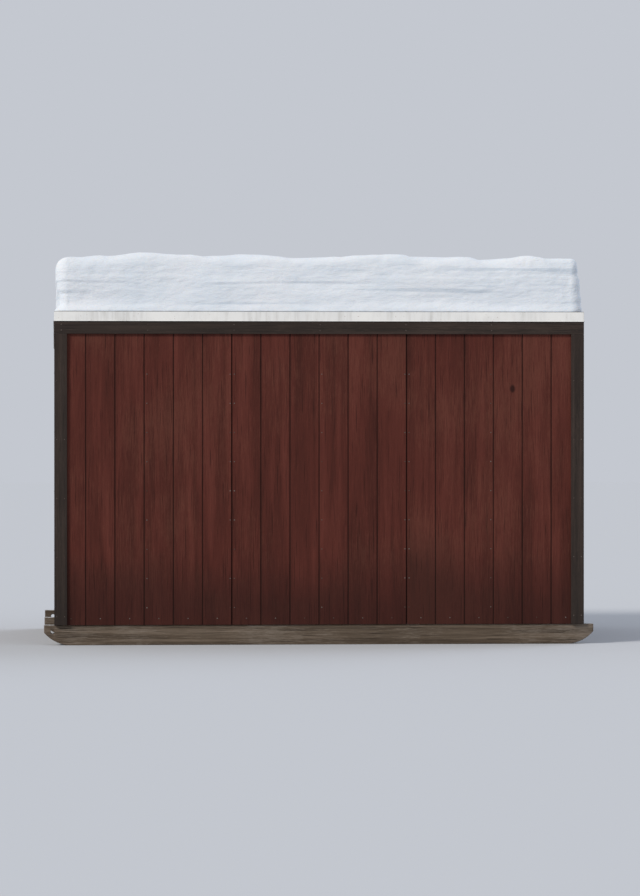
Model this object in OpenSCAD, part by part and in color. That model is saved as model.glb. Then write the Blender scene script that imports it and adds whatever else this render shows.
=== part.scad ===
// Ice fishing hut on three timber runners.
// A stud-framed box with grooved plywood siding stands on a joisted floor with fishing holes.
// Its low roof falls from the front wall to the back wall, under a thick cake of settled snow.
// X runs along the front wall and Y from the front to the back. Z is 0 on the ice.

/* [Hut] */
// Length along the front wall, over the siding
hut_length = 3658; // [3000:1:4600]
// Width from the front to the back, over the siding
hut_width = 2438; // [2100:1:3000]
// Height of the roof deck above the ice at the front wall
front_height = 2316; // [2150:1:2600]
// Drop of the roof from the front wall to the back wall
roof_fall = 150; // [60:1:240]

/* [Runners] */
// Width of a runner
runner_width = 89; // [60:1:140]
// Height of a runner
runner_height = 140; // [115:1:190]
// How far a runner reaches past the wall at each end
runner_reach = 90; // [60:1:160]
// Radius of the upturned nose
nose_radius = 250; // [220:1:500]
// Length of the upturned nose
nose_length = 190; // [120:1:210]
// Diameter of the tow bore through the left noses
tow_bore = 30; // [16:1:36]
// Tip of the nose to the centre of the tow bore
tow_setback = 60; // [45:1:75]
// Top of the runner down to the centre of the tow bore
tow_drop = 45; // [35:1:50]

/* [Floor] */
// Thickness of the floor joists and rim joists
joist_thickness = 38; // [32:1:50]
// Depth of the floor joists and rim joists
joist_depth = 89; // [70:1:140]
// Widest spacing of the floor joists, centre to centre
joist_pitch = 406; // [350:1:610]
// Thickness of the floor sheets
floor_thickness = 18; // [12:1:25]
// Depth of a fishing hole, from front to back
hole_depth = 300; // [200:1:340]
// Edge of a fishing hole to the joists beside it
hole_joist_clearance = 30; // [10:1:50]
// Edge of a fishing hole to the wall framing
hole_wall_clearance = 100; // [40:1:140]

/* [Walls] */
// Thickness of the studs and plates
stud_thickness = 38; // [32:1:45]
// Depth of the studs and plates, which is the depth of the wall framing
stud_depth = 64; // [50:1:89]
// Widest spacing of the studs, centre to centre
stud_pitch = 610; // [400:1:700]
// Thickness of the plywood siding
siding_thickness = 11; // [9:0.5:16]
// Nominal width of a siding sheet
sheet_width = 1220; // [900:1:1250]
// Space left between neighbouring sheets
sheet_gap = 3; // [2:0.5:5]
// Spacing of the grooves in the siding
groove_pitch = 203; // [100:1:305]
// Width of a groove
groove_width = 9.5; // [6:0.5:14]
// Depth of a groove
groove_depth = 3; // [1:0.5:4]

/* [Roof] */
// Thickness of the rafters
rafter_thickness = 38; // [32:1:50]
// Depth of the rafters
rafter_depth = 89; // [75:1:120]
// Widest spacing of the rafters, centre to centre
rafter_pitch = 610; // [400:1:700]
// Least depth of the level seat cut where a rafter sits on a plate
rafter_seat = 10; // [5:1:25]
// Thickness of the roof deck
deck_thickness = 12; // [9:1:18]
// Thickness of the roofing felt
felt_thickness = 3; // [2:0.5:5]
// Thickness of the fascia, rake boards, corner trims and door casing
trim_thickness = 19; // [16:1:25]
// Height of the fascia and rake boards
fascia_height = 140; // [110:1:184]
// Width of a corner trim on each face
corner_trim_width = 89; // [60:1:120]
// Height of the drip edge's upright face
drip_face = 60; // [40:1:80]
// Width of the drip edge's flange on the deck
drip_flange = 50; // [30:1:80]
// Thickness of the drip edge
drip_metal = 1; // [0.8:0.1:1.5]
// Reach of the kick along the foot of the drip edge
drip_kick = 6; // [3:0.5:10]

/* [Door] */
// Width of the door leaf
door_width = 762; // [660:1:860]
// Space left all round the leaf
door_gap = 3; // [2:0.5:5]
// Thickness of the leaf behind its ledges
leaf_thickness = 30; // [25:1:36]
// Thickness of the jambs, head and sill
jamb_thickness = 19; // [16:1:25]
// Overlap of the rebate behind the leaf
stop_cover = 12; // [8:1:18]
// Width of the casing boards round the doorway
casing_width = 70; // [60:1:90]
// Edge of the jamb left showing inside the casing
casing_reveal = 6; // [4:1:9]
// Top of the casing to the rake board, at the low side of the doorway
casing_head_room = 10; // [5:1:60]
// Width of the ledges and stiles on the leaf
ledge_width = 89; // [70:1:110]

/* [Hardware] */
// Length of a hinge strap
strap_length = 240; // [180:1:320]
// Height of a hinge strap at its root
strap_root = 44; // [36:1:56]
// Height of a hinge strap at its tip
strap_tip = 22; // [16:1:30]
// Thickness of the straps and plates
plate_thickness = 4; // [3:0.5:5]
// Diameter of the hinge knuckle
knuckle_diameter = 14; // [12:1:18]
// Height of the hinge plate on the casing
hinge_plate_height = 80; // [60:1:85]
// Width of the hinge plate on the casing
hinge_plate_width = 45; // [30:1:50]
// Height of the pull above the floor
pull_height = 900; // [700:1:1050]
// Grip length of the pull, between the centres of its posts
pull_grip = 150; // [110:1:180]
// Diameter of the pull's bar
pull_bar = 12; // [10:1:16]
// Diameter of the pull's posts
pull_post = 9; // [7:0.5:9.5]
// Side of the pull's square feet
pull_foot = 34; // [24:1:44]
// Clear depth behind the pull's bar
pull_clearance = 32; // [26:1:40]
// Height of the bolt above the pull
bolt_rise = 190; // [160:1:260]
// Diameter of the bolt
bolt_diameter = 12; // [10:1:16]
// Clearance between the bolt and its keeper
bolt_clearance = 0.5; // [0.3:0.1:1]
// Diameter of the ball that slides the bolt
bolt_knob = 14; // [11:1:18]
// Diameter of the neck under the ball
bolt_neck = 6; // [4:0.5:8]
// Axis of the bolt out to the centre of the ball
knob_reach = 20; // [18:1:28]

/* [Snow] */
// Depth of the snow on the roof
snow_depth = 410; // [250:1:500]
// Radius of the snow's rounded rim and corners
snow_rim = 95; // [60:1:140]
// Height of the tallest hump on the snow
snow_hump = 26; // [0:1:60]

/* [Hidden] */
$fn = 48;

siding_color = "#552a22";
trim_color = "#2e2520";
timber_color = "#c8a877";
sheet_color = "#b8945f";
runner_color = "#5b4f43";
metal_color = "#e9e8e4";
felt_color = "#3a3b3d";
hardware_color = "#2f3032";
snow_color = "#dce4eb";

// How far a cut runs on past the face that it opens
over = 1;

// Faces that the pieces share
wall_x = hut_length / 2;
wall_y = hut_width / 2;
frame_x = wall_x - siding_thickness;
frame_y = wall_y - siding_thickness;
room_x = frame_x - stud_depth;
room_y = frame_y - stud_depth;
deck_x = wall_x + trim_thickness;
deck_y = wall_y + trim_thickness;
floor_top = runner_height + joist_depth + floor_thickness;
stud_foot = floor_top + stud_thickness;

// The roof plane is the top of the deck
roof_angle = atan(roof_fall / hut_width);
function deck_top(y) = front_height - (y + wall_y) * tan(roof_angle);
function upright(thickness) = thickness / cos(roof_angle);
deck_under = -upright(deck_thickness);
rafter_under = -upright(deck_thickness + rafter_depth);
raked_plate_under = -upright(deck_thickness + rafter_depth + stud_thickness);
rake_under = -upright(deck_thickness + fascia_height);
flange_over = upright(drip_metal);
felt_over = upright(felt_thickness);

// A level plate meets the sloping rafters with at least the seat's depth of bearing cut
front_plate_top = deck_top(-frame_y) + rafter_under + rafter_seat;
back_plate_top = deck_top(room_y) + rafter_under + rafter_seat;

// Even spacing that is never wider than the pitch
function bays(span, pitch) = ceil(span / pitch);
function spread(span, pitch) = [for (i = [0 : bays(span, pitch)]) (i / bays(span, pitch) - 0.5) * span];
// Sheets lie whole about the middle of a wall and are cut at its ends: the joints, then all edges
function sheet_joints(span) =
    let (sheets = ceil(span / sheet_width))
        [for (i = [1 : sheets - 1]) (i - sheets / 2) * sheet_width];
function sheet_edges(span) = concat([-span / 2], sheet_joints(span), [span / 2]);
// Framing that carries the sheets: a piece at each end, one behind each joint and others between
function framed(span, reach, pitch) =
    let (fixed = concat([-reach], sheet_joints(span), [reach]), last = len(fixed) - 1)
        [
            for (k = [0 : last])
                let (step = k < last ? fixed[k + 1] - fixed[k] : pitch, count = bays(step, pitch))
                    for (i = [0 : count - 1]) fixed[k] + i * step / count
        ];

joist_places = spread(2 * frame_x - joist_thickness, joist_pitch);
joist_bays = len(joist_places) - 1;
joist_step = joist_places[1] - joist_places[0];
// The floor sheets meet over a joist, a third of the way in from each end
floor_joint = joist_places[joist_bays - round(joist_bays / 3)];
hole_x = joist_places[joist_bays] - 1.5 * joist_step;
hole_y = room_y - hole_wall_clearance - hole_depth / 2;
hole_length = joist_step - joist_thickness - 2 * hole_joist_clearance;

long_stud_places = framed(hut_length, frame_x - stud_thickness / 2, stud_pitch);
end_stud_places = framed(2 * frame_y, room_y - stud_thickness / 2, stud_pitch);
rafter_places = framed(hut_length, frame_x - rafter_thickness / 2, rafter_pitch);

// Doorway in the right end, as tall as the rake board leaves room for
leaf_half = door_width / 2;
jamb_half = leaf_half + door_gap;
rough_half = jamb_half + jamb_thickness;
casing_inner = jamb_half + casing_reveal;
casing_outer = casing_inner + casing_width;
casing_top = deck_top(casing_outer) + rake_under - casing_head_room;
jamb_top = casing_top - casing_width - casing_reveal;
rough_top = jamb_top + jamb_thickness;
sill_top = floor_top + jamb_thickness;
leaf_foot = sill_top + door_gap;
leaf_top = jamb_top - door_gap;
trimmer_y = rough_half + stud_thickness / 2;
corner_stud_y = room_y - stud_thickness / 2;
door_face = wall_x + trim_thickness;

snow_x_steps = 46;
snow_y_steps = 32;
// Humps along the snow: place across X and Y as shares of the half sizes, width, and share of the tallest
snow_humps = [
    [-0.70, -0.80, 560, 1.0], [-0.28, -0.86, 420, 0.8], [0.30, -0.75, 760, 0.5],
    [0.78, -0.30, 620, 0.9], [-0.50, 0.25, 900, 0.6], [0.20, 0.55, 700, 0.8],
    [-0.85, 0.70, 480, 0.7], [0.72, 0.80, 560, 0.5]
];

// Upright box between two opposite corners
module block(low, high)
    translate(low)
        cube(high - low);

// A section laid out as [y, z], carried along X
module along_x(x_low, x_high)
    translate([x_low, 0, 0])
        rotate([90, 0, 90])
            linear_extrude(x_high - x_low)
                children();

// Slab that follows the roof plane between two upright offsets from it
module roof_slab(x_half, y_half, z_low, z_high)
    along_x(-x_half, x_half)
        polygon([
            [-y_half, deck_top(-y_half) + z_low], [y_half, deck_top(y_half) + z_low],
            [y_half, deck_top(y_half) + z_high], [-y_half, deck_top(-y_half) + z_high]
        ]);

// Board across an end of the hut: level foot, head cut to an upright offset from the roof plane
module raked_board(x_low, x_high, y_low, y_high, foot, head_offset)
    along_x(x_low, x_high)
        polygon([
            [y_low, foot], [y_high, foot],
            [y_high, deck_top(y_high) + head_offset], [y_low, deck_top(y_low) + head_offset]
        ]);

// A right-hand piece as it is, or mirrored to the left end
module at_end(side)
    if (side < 0)
        mirror([1, 0, 0])
            children();
    else
        children();

// Runner with an upturned nose at each end: a flat sole that leaves it along an arc
module runner(y, bored)
    color(runner_color)
        difference() {
            translate([0, y + runner_width / 2, 0])
                rotate([90, 0, 0])
                    linear_extrude(runner_width)
                        runner_outline();
            if (bored)
                translate([tow_setback - wall_x - runner_reach, y, runner_height - tow_drop])
                    rotate([90, 0, 0])
                        cylinder(d = tow_bore, h = 2 * runner_width, center = true);
        }

module runner_outline() {
    sole_half = wall_x + runner_reach - nose_length;
    translate([-sole_half, 0])
        square([2 * sole_half, runner_height]);
    for (side = [-1, 1])
        intersection() {
            translate([side < 0 ? -sole_half - nose_length : sole_half, 0])
                square([nose_length, runner_height]);
            translate([side * sole_half, nose_radius])
                circle(r = nose_radius, $fn = 96);
        }
}

outer_runner_y = frame_y - runner_width / 2;
module runner_front() runner(-outer_runner_y, true);
module runner_middle() runner(0, false);
module runner_back() runner(outer_runner_y, true);

module rim_joist(side)
    color(timber_color)
        block(
            [-frame_x, side < 0 ? -frame_y : frame_y - joist_thickness, runner_height],
            [frame_x, side < 0 ? -frame_y + joist_thickness : frame_y, runner_height + joist_depth]
        );
module rim_joist_front() rim_joist(-1);
module rim_joist_back() rim_joist(1);

module floor_joists()
    color(timber_color)
        for (x = joist_places)
            block(
                [x - joist_thickness / 2, joist_thickness - frame_y, runner_height],
                [x + joist_thickness / 2, frame_y - joist_thickness, runner_height + joist_depth]
            );

// Floor sheet between two X places, with a fishing hole near the front and the back wall
module floor_sheet(x_low, x_high)
    color(sheet_color)
        difference() {
            block([x_low, -frame_y, floor_top - floor_thickness], [x_high, frame_y, floor_top]);
            for (x = [-hole_x, hole_x], y = [-hole_y, hole_y])
                translate([x, y, floor_top])
                    cube([hole_length, hole_depth, 3 * floor_thickness], center = true);
        }
module floor_sheet_left() floor_sheet(-frame_x, -floor_joint - sheet_gap / 2);
module floor_sheet_middle() floor_sheet(-floor_joint + sheet_gap / 2, floor_joint - sheet_gap / 2);
module floor_sheet_right() floor_sheet(floor_joint + sheet_gap / 2, frame_x);

// Bottom and top plate of a long wall
module long_wall_plates(y_low, top)
    color(timber_color)
        for (z = [floor_top, top - stud_thickness])
            block([-frame_x, y_low, z], [frame_x, y_low + stud_depth, z + stud_thickness]);

module long_wall_studs(y_low, top)
    color(timber_color)
        for (x = long_stud_places)
            block(
                [x - stud_thickness / 2, y_low, stud_foot],
                [x + stud_thickness / 2, y_low + stud_depth, top - stud_thickness]
            );
module front_wall_plates() long_wall_plates(-frame_y, front_plate_top);
module front_wall_studs() long_wall_studs(-frame_y, front_plate_top);
module back_wall_plates() long_wall_plates(room_y, back_plate_top);
module back_wall_studs() long_wall_studs(room_y, back_plate_top);

// Raked top plate of an end wall, under its rafter
module raked_plate()
    along_x(room_x, frame_x)
        polygon([
            [-room_y, deck_top(-room_y) + raked_plate_under],
            [room_y, deck_top(room_y) + raked_plate_under],
            [room_y, deck_top(room_y) + rafter_under],
            [-room_y, deck_top(-room_y) + rafter_under]
        ]);

module left_end_plates()
    color(timber_color)
        at_end(-1) {
            block([room_x, -room_y, floor_top], [frame_x, room_y, stud_foot]);
            raked_plate();
        }

// The bottom plate stops at the doorway, which has a header over it
module right_end_plates()
    color(timber_color)
        at_end(1) {
            block([room_x, -room_y, floor_top], [frame_x, -rough_half, stud_foot]);
            block([room_x, rough_half, floor_top], [frame_x, room_y, stud_foot]);
            block([room_x, -rough_half, rough_top], [frame_x, rough_half, rough_top + stud_thickness]);
            raked_plate();
        }

module end_studs(side, places)
    color(timber_color)
        at_end(side)
            for (y = places)
                raked_board(
                    room_x, frame_x, y - stud_thickness / 2, y + stud_thickness / 2,
                    stud_foot, raked_plate_under
                );
module left_end_studs() end_studs(-1, end_stud_places);
module right_end_studs() {
    side_stud_y = (corner_stud_y + trimmer_y) / 2;
    end_studs(1, [-corner_stud_y, -side_stud_y, -trimmer_y, trimmer_y, side_stud_y, corner_stud_y]);
}

// Grooved siding seen from above, running along X with its face on -Y.
// Neighbouring sheets meet in a shiplap: a lip at the back of one lies behind the face of the next.
module siding_plan(span) {
    edges = sheet_edges(span);
    last = len(edges) - 2;
    lip_thickness = (siding_thickness - groove_depth) / 2;
    lip_reach = 2 * sheet_gap;
    lip_clearance = sheet_gap / 10;
    for (i = [0 : last]) {
        left = edges[i];
        right = edges[i + 1];
        difference() {
            union() {
                // The face stops one groove short of the joint, and the back runs on as the lip
                translate([left, -siding_thickness])
                    square([right - left - (i < last ? groove_width : 0), siding_thickness]);
                if (i < last)
                    translate([(left + right) / 2, -lip_thickness])
                        square([(right - left) / 2 + lip_reach, lip_thickness]);
            }
            if (i > 0)
                translate([left - over, -lip_thickness - lip_clearance])
                    square([over + lip_reach + sheet_gap, lip_thickness + over]);
            for (x = groove_places(left, right, i == 0 ? right : left))
                translate([x - groove_width, -siding_thickness - over])
                    square([groove_width, groove_depth + over]);
        }
    }
}

// Right edges of a sheet's grooves, whole pitches away from the joint at one of its edges
function groove_places(left, right, joint) =
    [
        for (k = [ceil((left - joint) / groove_pitch) : floor((right - joint) / groove_pitch)])
            let (x = joint + k * groove_pitch)
                if (x > left + 2 * groove_width && x < right - groove_width) x
    ];

module long_siding(top)
    color(siding_color)
        translate([0, -frame_y, runner_height])
            linear_extrude(top - runner_height)
                siding_plan(hut_length);
module front_siding() long_siding(deck_top(-frame_y) + deck_under);
module back_siding() rotate([0, 0, 180]) long_siding(deck_top(wall_y) + deck_under);

// End siding stands between the long walls and follows the underside of the deck
module end_siding(side)
    color(siding_color)
        intersection() {
            rotate([0, 0, side * 90])
                translate([0, -frame_x, runner_height])
                    linear_extrude(front_height)
                        siding_plan(2 * frame_y);
            raked_board(-wall_x, wall_x, -frame_y, frame_y, runner_height, deck_under);
        }
module left_end_siding() end_siding(-1);
module right_end_siding()
    difference() {
        end_siding(1);
        block([frame_x - over, -rough_half, floor_top], [wall_x + over, rough_half, rough_top]);
    }

// Rafter with plumb ends and a level seat cut over each plate
module rafters()
    color(timber_color)
        for (x = rafter_places)
            along_x(x - rafter_thickness / 2, x + rafter_thickness / 2)
                polygon([
                    [-frame_y, front_plate_top], [-room_y, front_plate_top],
                    [-room_y, deck_top(-room_y) + rafter_under], [room_y, deck_top(room_y) + rafter_under],
                    [room_y, back_plate_top], [frame_y, back_plate_top],
                    [frame_y, deck_top(frame_y) + deck_under], [-frame_y, deck_top(-frame_y) + deck_under]
                ]);

module roof_deck()
    color(sheet_color)
        roof_slab(deck_x, deck_y, deck_under, 0);

// Felt over the deck, thinner where it laps onto the flanges of the drip edge
module roof_felt()
    color(felt_color) {
        roof_slab(deck_x, deck_y, flange_over, felt_over);
        roof_slab(deck_x - drip_flange, deck_y - drip_flange, 0, felt_over);
    }

// Fascia along a long wall, with its head cut to the slope of the deck
module fascia(side) {
    y_low = side < 0 ? -deck_y : wall_y;
    foot = deck_top(side * wall_y) + rake_under;
    color(trim_color)
        raked_board(-deck_x, deck_x, y_low, y_low + trim_thickness, foot, deck_under);
}
module fascia_front() fascia(-1);
module fascia_back() fascia(1);

module rake_board(side)
    color(trim_color)
        at_end(side)
            along_x(wall_x, deck_x)
                polygon([
                    [-wall_y, deck_top(-wall_y) + rake_under], [wall_y, deck_top(wall_y) + rake_under],
                    [wall_y, deck_top(wall_y) + deck_under], [-wall_y, deck_top(-wall_y) + deck_under]
                ]);
module rake_board_left() rake_board(-1);
module rake_board_right() rake_board(1);

// Folded drip edge from [0, 0] at the deck's upper edge: flange inwards, face down, kick outwards.
// The flange rises by the fall for each millimetre inwards, and has its own upright thickness.
module drip_profile(fall, flange) {
    kick_inner = drip_metal * (sqrt(2) - 1);
    polygon([
        [-drip_flange, drip_flange * fall + flange], [drip_metal, flange - drip_metal * fall],
        [drip_metal, -drip_face], [drip_metal + drip_kick, -drip_face - drip_kick],
        [drip_kick - kick_inner, -drip_face - drip_kick], [0, -drip_face - kick_inner],
        [0, 0], [-drip_flange, drip_flange * fall]
    ]);
}

module drip_edge_long(side)
    color(metal_color)
        translate([0, side * deck_y, deck_top(side * deck_y)])
            along_x(-deck_x, deck_x)
                if (side < 0)
                    mirror([1, 0])
                        drip_profile(-tan(roof_angle), flange_over);
                else
                    drip_profile(tan(roof_angle), flange_over);
module drip_edge_front() drip_edge_long(-1);
module drip_edge_back() drip_edge_long(1);

// The end pieces follow the slope, and their flanges stop at the flanges of the long ones
module drip_edge_end(side)
    color(metal_color)
        at_end(side)
            intersection() {
                translate([deck_x, 0, deck_top(0)])
                    rotate([90 - roof_angle, 0, 0])
                        linear_extrude(2 * hut_width, center = true)
                            drip_profile(0, drip_metal);
                union() {
                    block(
                        [deck_x, -deck_y - drip_metal, 0],
                        [deck_x + hut_width, deck_y + drip_metal, 2 * front_height]
                    );
                    block(
                        [0, drip_flange - deck_y, 0],
                        [deck_x, deck_y - drip_flange, 2 * front_height]
                    );
                }
            }
module drip_edge_left() drip_edge_end(-1);
module drip_edge_right() drip_edge_end(1);

// Two boards that lap at a corner, under the fascia and the rake board
module corner_trim(x_side, y_side)
    color(trim_color)
        at_end(x_side) {
            y_face = y_side * deck_y;
            y_back = y_side * wall_y;
            y_in = y_side * (deck_y - corner_trim_width);
            head = deck_top(y_back) + rake_under;
            block(
                [deck_x - corner_trim_width, min(y_face, y_back), runner_height],
                [deck_x, max(y_face, y_back), head]
            );
            along_x(wall_x, deck_x)
                polygon([
                    [y_in, runner_height], [y_face, runner_height],
                    [y_face, head], [y_back, head], [y_in, deck_top(y_in) + rake_under]
                ]);
        }
module corner_trim_front_left() corner_trim(-1, -1);
module corner_trim_front_right() corner_trim(1, -1);
module corner_trim_back_left() corner_trim(-1, 1);
module corner_trim_back_right() corner_trim(1, 1);

// Rebated jambs, head and sill in the doorway
module door_frame()
    color(trim_color)
        difference() {
            block([room_x, -rough_half, floor_top], [wall_x, rough_half, rough_top]);
            block(
                [room_x - over, stop_cover - leaf_half, sill_top],
                [wall_x + over, leaf_half - stop_cover, leaf_top - stop_cover]
            );
            block([wall_x - leaf_thickness, -jamb_half, sill_top], [wall_x + over, jamb_half, jamb_top]);
        }

module door_casing()
    color(trim_color)
        difference() {
            block([wall_x, -casing_outer, floor_top], [door_face, casing_outer, casing_top]);
            block(
                [wall_x - over, -casing_inner, floor_top - over],
                [door_face + over, casing_inner, casing_top - casing_width]
            );
        }

// Leaf of vertical grooved boarding, closed against the rebate
module door_leaf()
    color(siding_color)
        difference() {
            block([wall_x - leaf_thickness, -leaf_half, leaf_foot], [wall_x, leaf_half, leaf_top]);
            for (y = [groove_pitch / 2 : groove_pitch : leaf_half - groove_width], side = [-1, 1])
                translate([wall_x, side * y, (leaf_foot + leaf_top) / 2])
                    cube([2 * groove_depth, groove_width, leaf_top], center = true);
        }

// Stiles and three ledges on the face of the leaf
module door_ledges() {
    middle = floor_top + pull_height;
    panel_half = leaf_half - ledge_width;
    color(trim_color)
        difference() {
            block([wall_x, -leaf_half, leaf_foot], [door_face, leaf_half, leaf_top]);
            block(
                [wall_x - over, -panel_half, leaf_foot + ledge_width],
                [door_face + over, panel_half, middle - ledge_width / 2]
            );
            block(
                [wall_x - over, -panel_half, middle + ledge_width / 2],
                [door_face + over, panel_half, leaf_top - ledge_width]
            );
        }
}

// Strap hinge: knuckle over the gap, plate on the casing, tapered strap on the ledge
module strap_hinge(z) {
    knuckle_y = (leaf_half + casing_inner) / 2;
    tip_y = knuckle_y - strap_length + strap_tip / 2;
    translate([door_face, 0, z]) {
        along_x(0, plate_thickness) {
            polygon([
                [knuckle_y, -strap_root / 2], [knuckle_y, strap_root / 2],
                [tip_y, strap_tip / 2], [tip_y, -strap_tip / 2]
            ]);
            translate([tip_y, 0])
                circle(d = strap_tip);
            translate([knuckle_y, -hinge_plate_height / 2])
                square([hinge_plate_width, hinge_plate_height]);
        }
        translate([(plate_thickness + knuckle_diameter) / 2, knuckle_y, 0])
            cylinder(d = knuckle_diameter, h = hinge_plate_height, center = true);
    }
}

module door_hinges()
    color(hardware_color)
        for (z = [leaf_foot + ledge_width / 2, leaf_top - ledge_width / 2])
            strap_hinge(z);

// Round bar on two thinner posts, each with a square foot on the stile
module door_pull() {
    stile_y = -leaf_half + ledge_width / 2;
    bar_x = plate_thickness + pull_clearance + pull_bar / 2;
    color(hardware_color)
        translate([door_face, stile_y, floor_top + pull_height]) {
            for (side = [-1, 1])
                translate([0, 0, side * pull_grip / 2]) {
                    rotate([0, 90, 0])
                        cylinder(d = pull_post, h = bar_x);
                    translate([0, -pull_foot / 2, -pull_foot / 2])
                        cube([plate_thickness, pull_foot, pull_foot]);
                }
            translate([bar_x, 0, 0])
                cylinder(d = pull_bar, h = pull_grip + 2 * pull_bar, center = true);
        }
}

// Slide bolt on the stile, shot into a keeper on the casing.
// Its knob stands against the first of its two saddles, and draws back to the second.
module door_bolt() {
    bolt_x = plate_thickness + bolt_clearance + bolt_diameter / 2;
    gap_middle = -(leaf_half + casing_inner) / 2;
    stile_plate = ledge_width - 2 * bolt_diameter;
    keeper_plate = hinge_plate_width / 2;
    saddle = bolt_diameter + 2 * plate_thickness;
    first_saddle = -leaf_half + bolt_diameter / 2;
    last_saddle = stile_plate - leaf_half - bolt_diameter;
    color(hardware_color)
        translate([door_face, 0, floor_top + pull_height + bolt_rise]) {
            translate([0, first_saddle, -saddle])
                cube([plate_thickness, stile_plate, 2 * saddle]);
            translate([bolt_x, gap_middle - keeper_plate, 0])
                rotate([-90, 0, 0])
                    cylinder(d = bolt_diameter, h = keeper_plate + stile_plate);
            translate([bolt_x, first_saddle + bolt_diameter + bolt_clearance + bolt_neck / 2, 0]) {
                rotate([0, 90, 0])
                    cylinder(d = bolt_neck, h = knob_reach);
                translate([knob_reach, 0, 0])
                    sphere(d = bolt_knob);
            }
            for (y = [first_saddle, last_saddle])
                translate([0, y, -saddle / 2])
                    cube([saddle, bolt_diameter, saddle]);
            difference() {
                translate([0, -casing_inner - keeper_plate, -saddle])
                    cube([saddle, keeper_plate, 2 * saddle]);
                translate([bolt_x, -casing_inner - keeper_plate - over, 0])
                    rotate([-90, 0, 0])
                        cylinder(d = bolt_diameter + 2 * bolt_clearance, h = keeper_plate + 2 * over);
            }
        }
}

// Grid places from 0 to 1 that crowd towards both ends, where the snow's rim turns over
function crowded(i, steps) = let (t = i / steps) t - 0.75 * sin(360 * t) / (2 * PI);
// Upright drop of the rounded rim, at a distance in from the edge
function rim_drop(inset) =
    inset >= snow_rim ? 0 : snow_rim - sqrt(snow_rim ^ 2 - (snow_rim - inset) ^ 2);
// Sum of soft round humps
function relief(x, y, i = 0) =
    i == len(snow_humps) ? 0
    : let (h = snow_humps[i], reach = norm([x - h[0] * deck_x, y - h[1] * deck_y]) / h[2])
        snow_hump * h[3] * exp(-4 * reach ^ 2) + relief(x, y, i + 1);
// Pulls a point of a square corner in onto a round one
function rounded(x, y) =
    let (
        a = abs(x) - deck_x + snow_rim,
        b = abs(y) - deck_y + snow_rim,
        pull = a > 0 && b > 0 ? max(a, b) / norm([a, b]) : 1
    )
    pull == 1 ? [x, y]
    : [sign(x) * (deck_x - snow_rim + a * pull), sign(y) * (deck_y - snow_rim + b * pull)];

// Cake of snow: a grid on top that turns down at its rim, straight sides, and a flat foot on the felt
module roof_snow() {
    nx = snow_x_steps;
    ny = snow_y_steps;
    flat_points = [
        for (j = [0 : ny], i = [0 : nx])
            [(2 * crowded(i, nx) - 1) * deck_x, (2 * crowded(j, ny) - 1) * deck_y]
    ];
    top_points = [
        for (p = flat_points)
            let (q = rounded(p[0], p[1]), inset = min(deck_x - abs(p[0]), deck_y - abs(p[1])))
                [q[0], q[1], deck_top(q[1]) + felt_over + snow_depth + relief(q[0], q[1]) - rim_drop(inset)]
    ];
    rim = concat(
        [for (i = [0 : nx - 1]) i],
        [for (j = [0 : ny - 1]) j * (nx + 1) + nx],
        [for (i = [nx : -1 : 1]) ny * (nx + 1) + i],
        [for (j = [ny : -1 : 1]) j * (nx + 1)]
    );
    foot_points = [for (k = rim) let (p = top_points[k]) [p[0], p[1], deck_top(p[1]) + felt_over]];
    first = len(top_points);
    count = len(rim);
    middle = first + count;
    top_faces = [
        for (j = [0 : ny - 1], i = [0 : nx - 1], half = [0, 1])
            let (k = j * (nx + 1) + i)
                half == 0 ? [k, k + nx + 1, k + nx + 2] : [k, k + nx + 2, k + 1]
    ];
    side_faces = [
        for (k = [0 : count - 1], half = [0, 1])
            let (n = (k + 1) % count)
                half == 0 ? [rim[k], rim[n], first + n] : [rim[k], first + n, first + k]
    ];
    foot_faces = [for (k = [0 : count - 1]) [first + k, first + (k + 1) % count, middle]];
    color(snow_color)
        polyhedron(
            points = concat(top_points, foot_points, [[0, 0, deck_top(0) + felt_over]]),
            faces = concat(top_faces, side_faces, foot_faces),
            convexity = 4
        );
}

runner_front();
runner_middle();
runner_back();
rim_joist_front();
rim_joist_back();
floor_joists();
floor_sheet_left();
floor_sheet_middle();
floor_sheet_right();
front_wall_plates();
front_wall_studs();
back_wall_plates();
back_wall_studs();
left_end_plates();
left_end_studs();
right_end_plates();
right_end_studs();
front_siding();
back_siding();
left_end_siding();
right_end_siding();
rafters();
roof_deck();
roof_felt();
fascia_front();
fascia_back();
rake_board_left();
rake_board_right();
drip_edge_front();
drip_edge_back();
drip_edge_left();
drip_edge_right();
corner_trim_front_left();
corner_trim_front_right();
corner_trim_back_left();
corner_trim_back_right();
door_frame();
door_casing();
door_leaf();
door_ledges();
door_hinges();
door_pull();
door_bolt();
roof_snow();
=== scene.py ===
import math

import bpy
import numpy as np
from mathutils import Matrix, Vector


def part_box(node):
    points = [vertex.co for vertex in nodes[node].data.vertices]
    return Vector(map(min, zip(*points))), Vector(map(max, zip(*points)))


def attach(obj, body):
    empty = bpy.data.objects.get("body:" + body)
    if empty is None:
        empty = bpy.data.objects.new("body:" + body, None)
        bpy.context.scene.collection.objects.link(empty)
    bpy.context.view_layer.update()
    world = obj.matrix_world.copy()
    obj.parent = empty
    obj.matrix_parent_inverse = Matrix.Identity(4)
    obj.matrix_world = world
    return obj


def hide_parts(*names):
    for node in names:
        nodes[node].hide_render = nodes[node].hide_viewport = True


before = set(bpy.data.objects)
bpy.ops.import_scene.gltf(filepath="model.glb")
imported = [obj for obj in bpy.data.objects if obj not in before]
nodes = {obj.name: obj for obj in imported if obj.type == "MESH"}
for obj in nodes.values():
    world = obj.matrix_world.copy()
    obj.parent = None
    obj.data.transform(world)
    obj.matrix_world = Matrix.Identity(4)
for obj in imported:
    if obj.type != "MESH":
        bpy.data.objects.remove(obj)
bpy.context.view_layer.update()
print("frame loaded:", len(nodes), "nodes")

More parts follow.
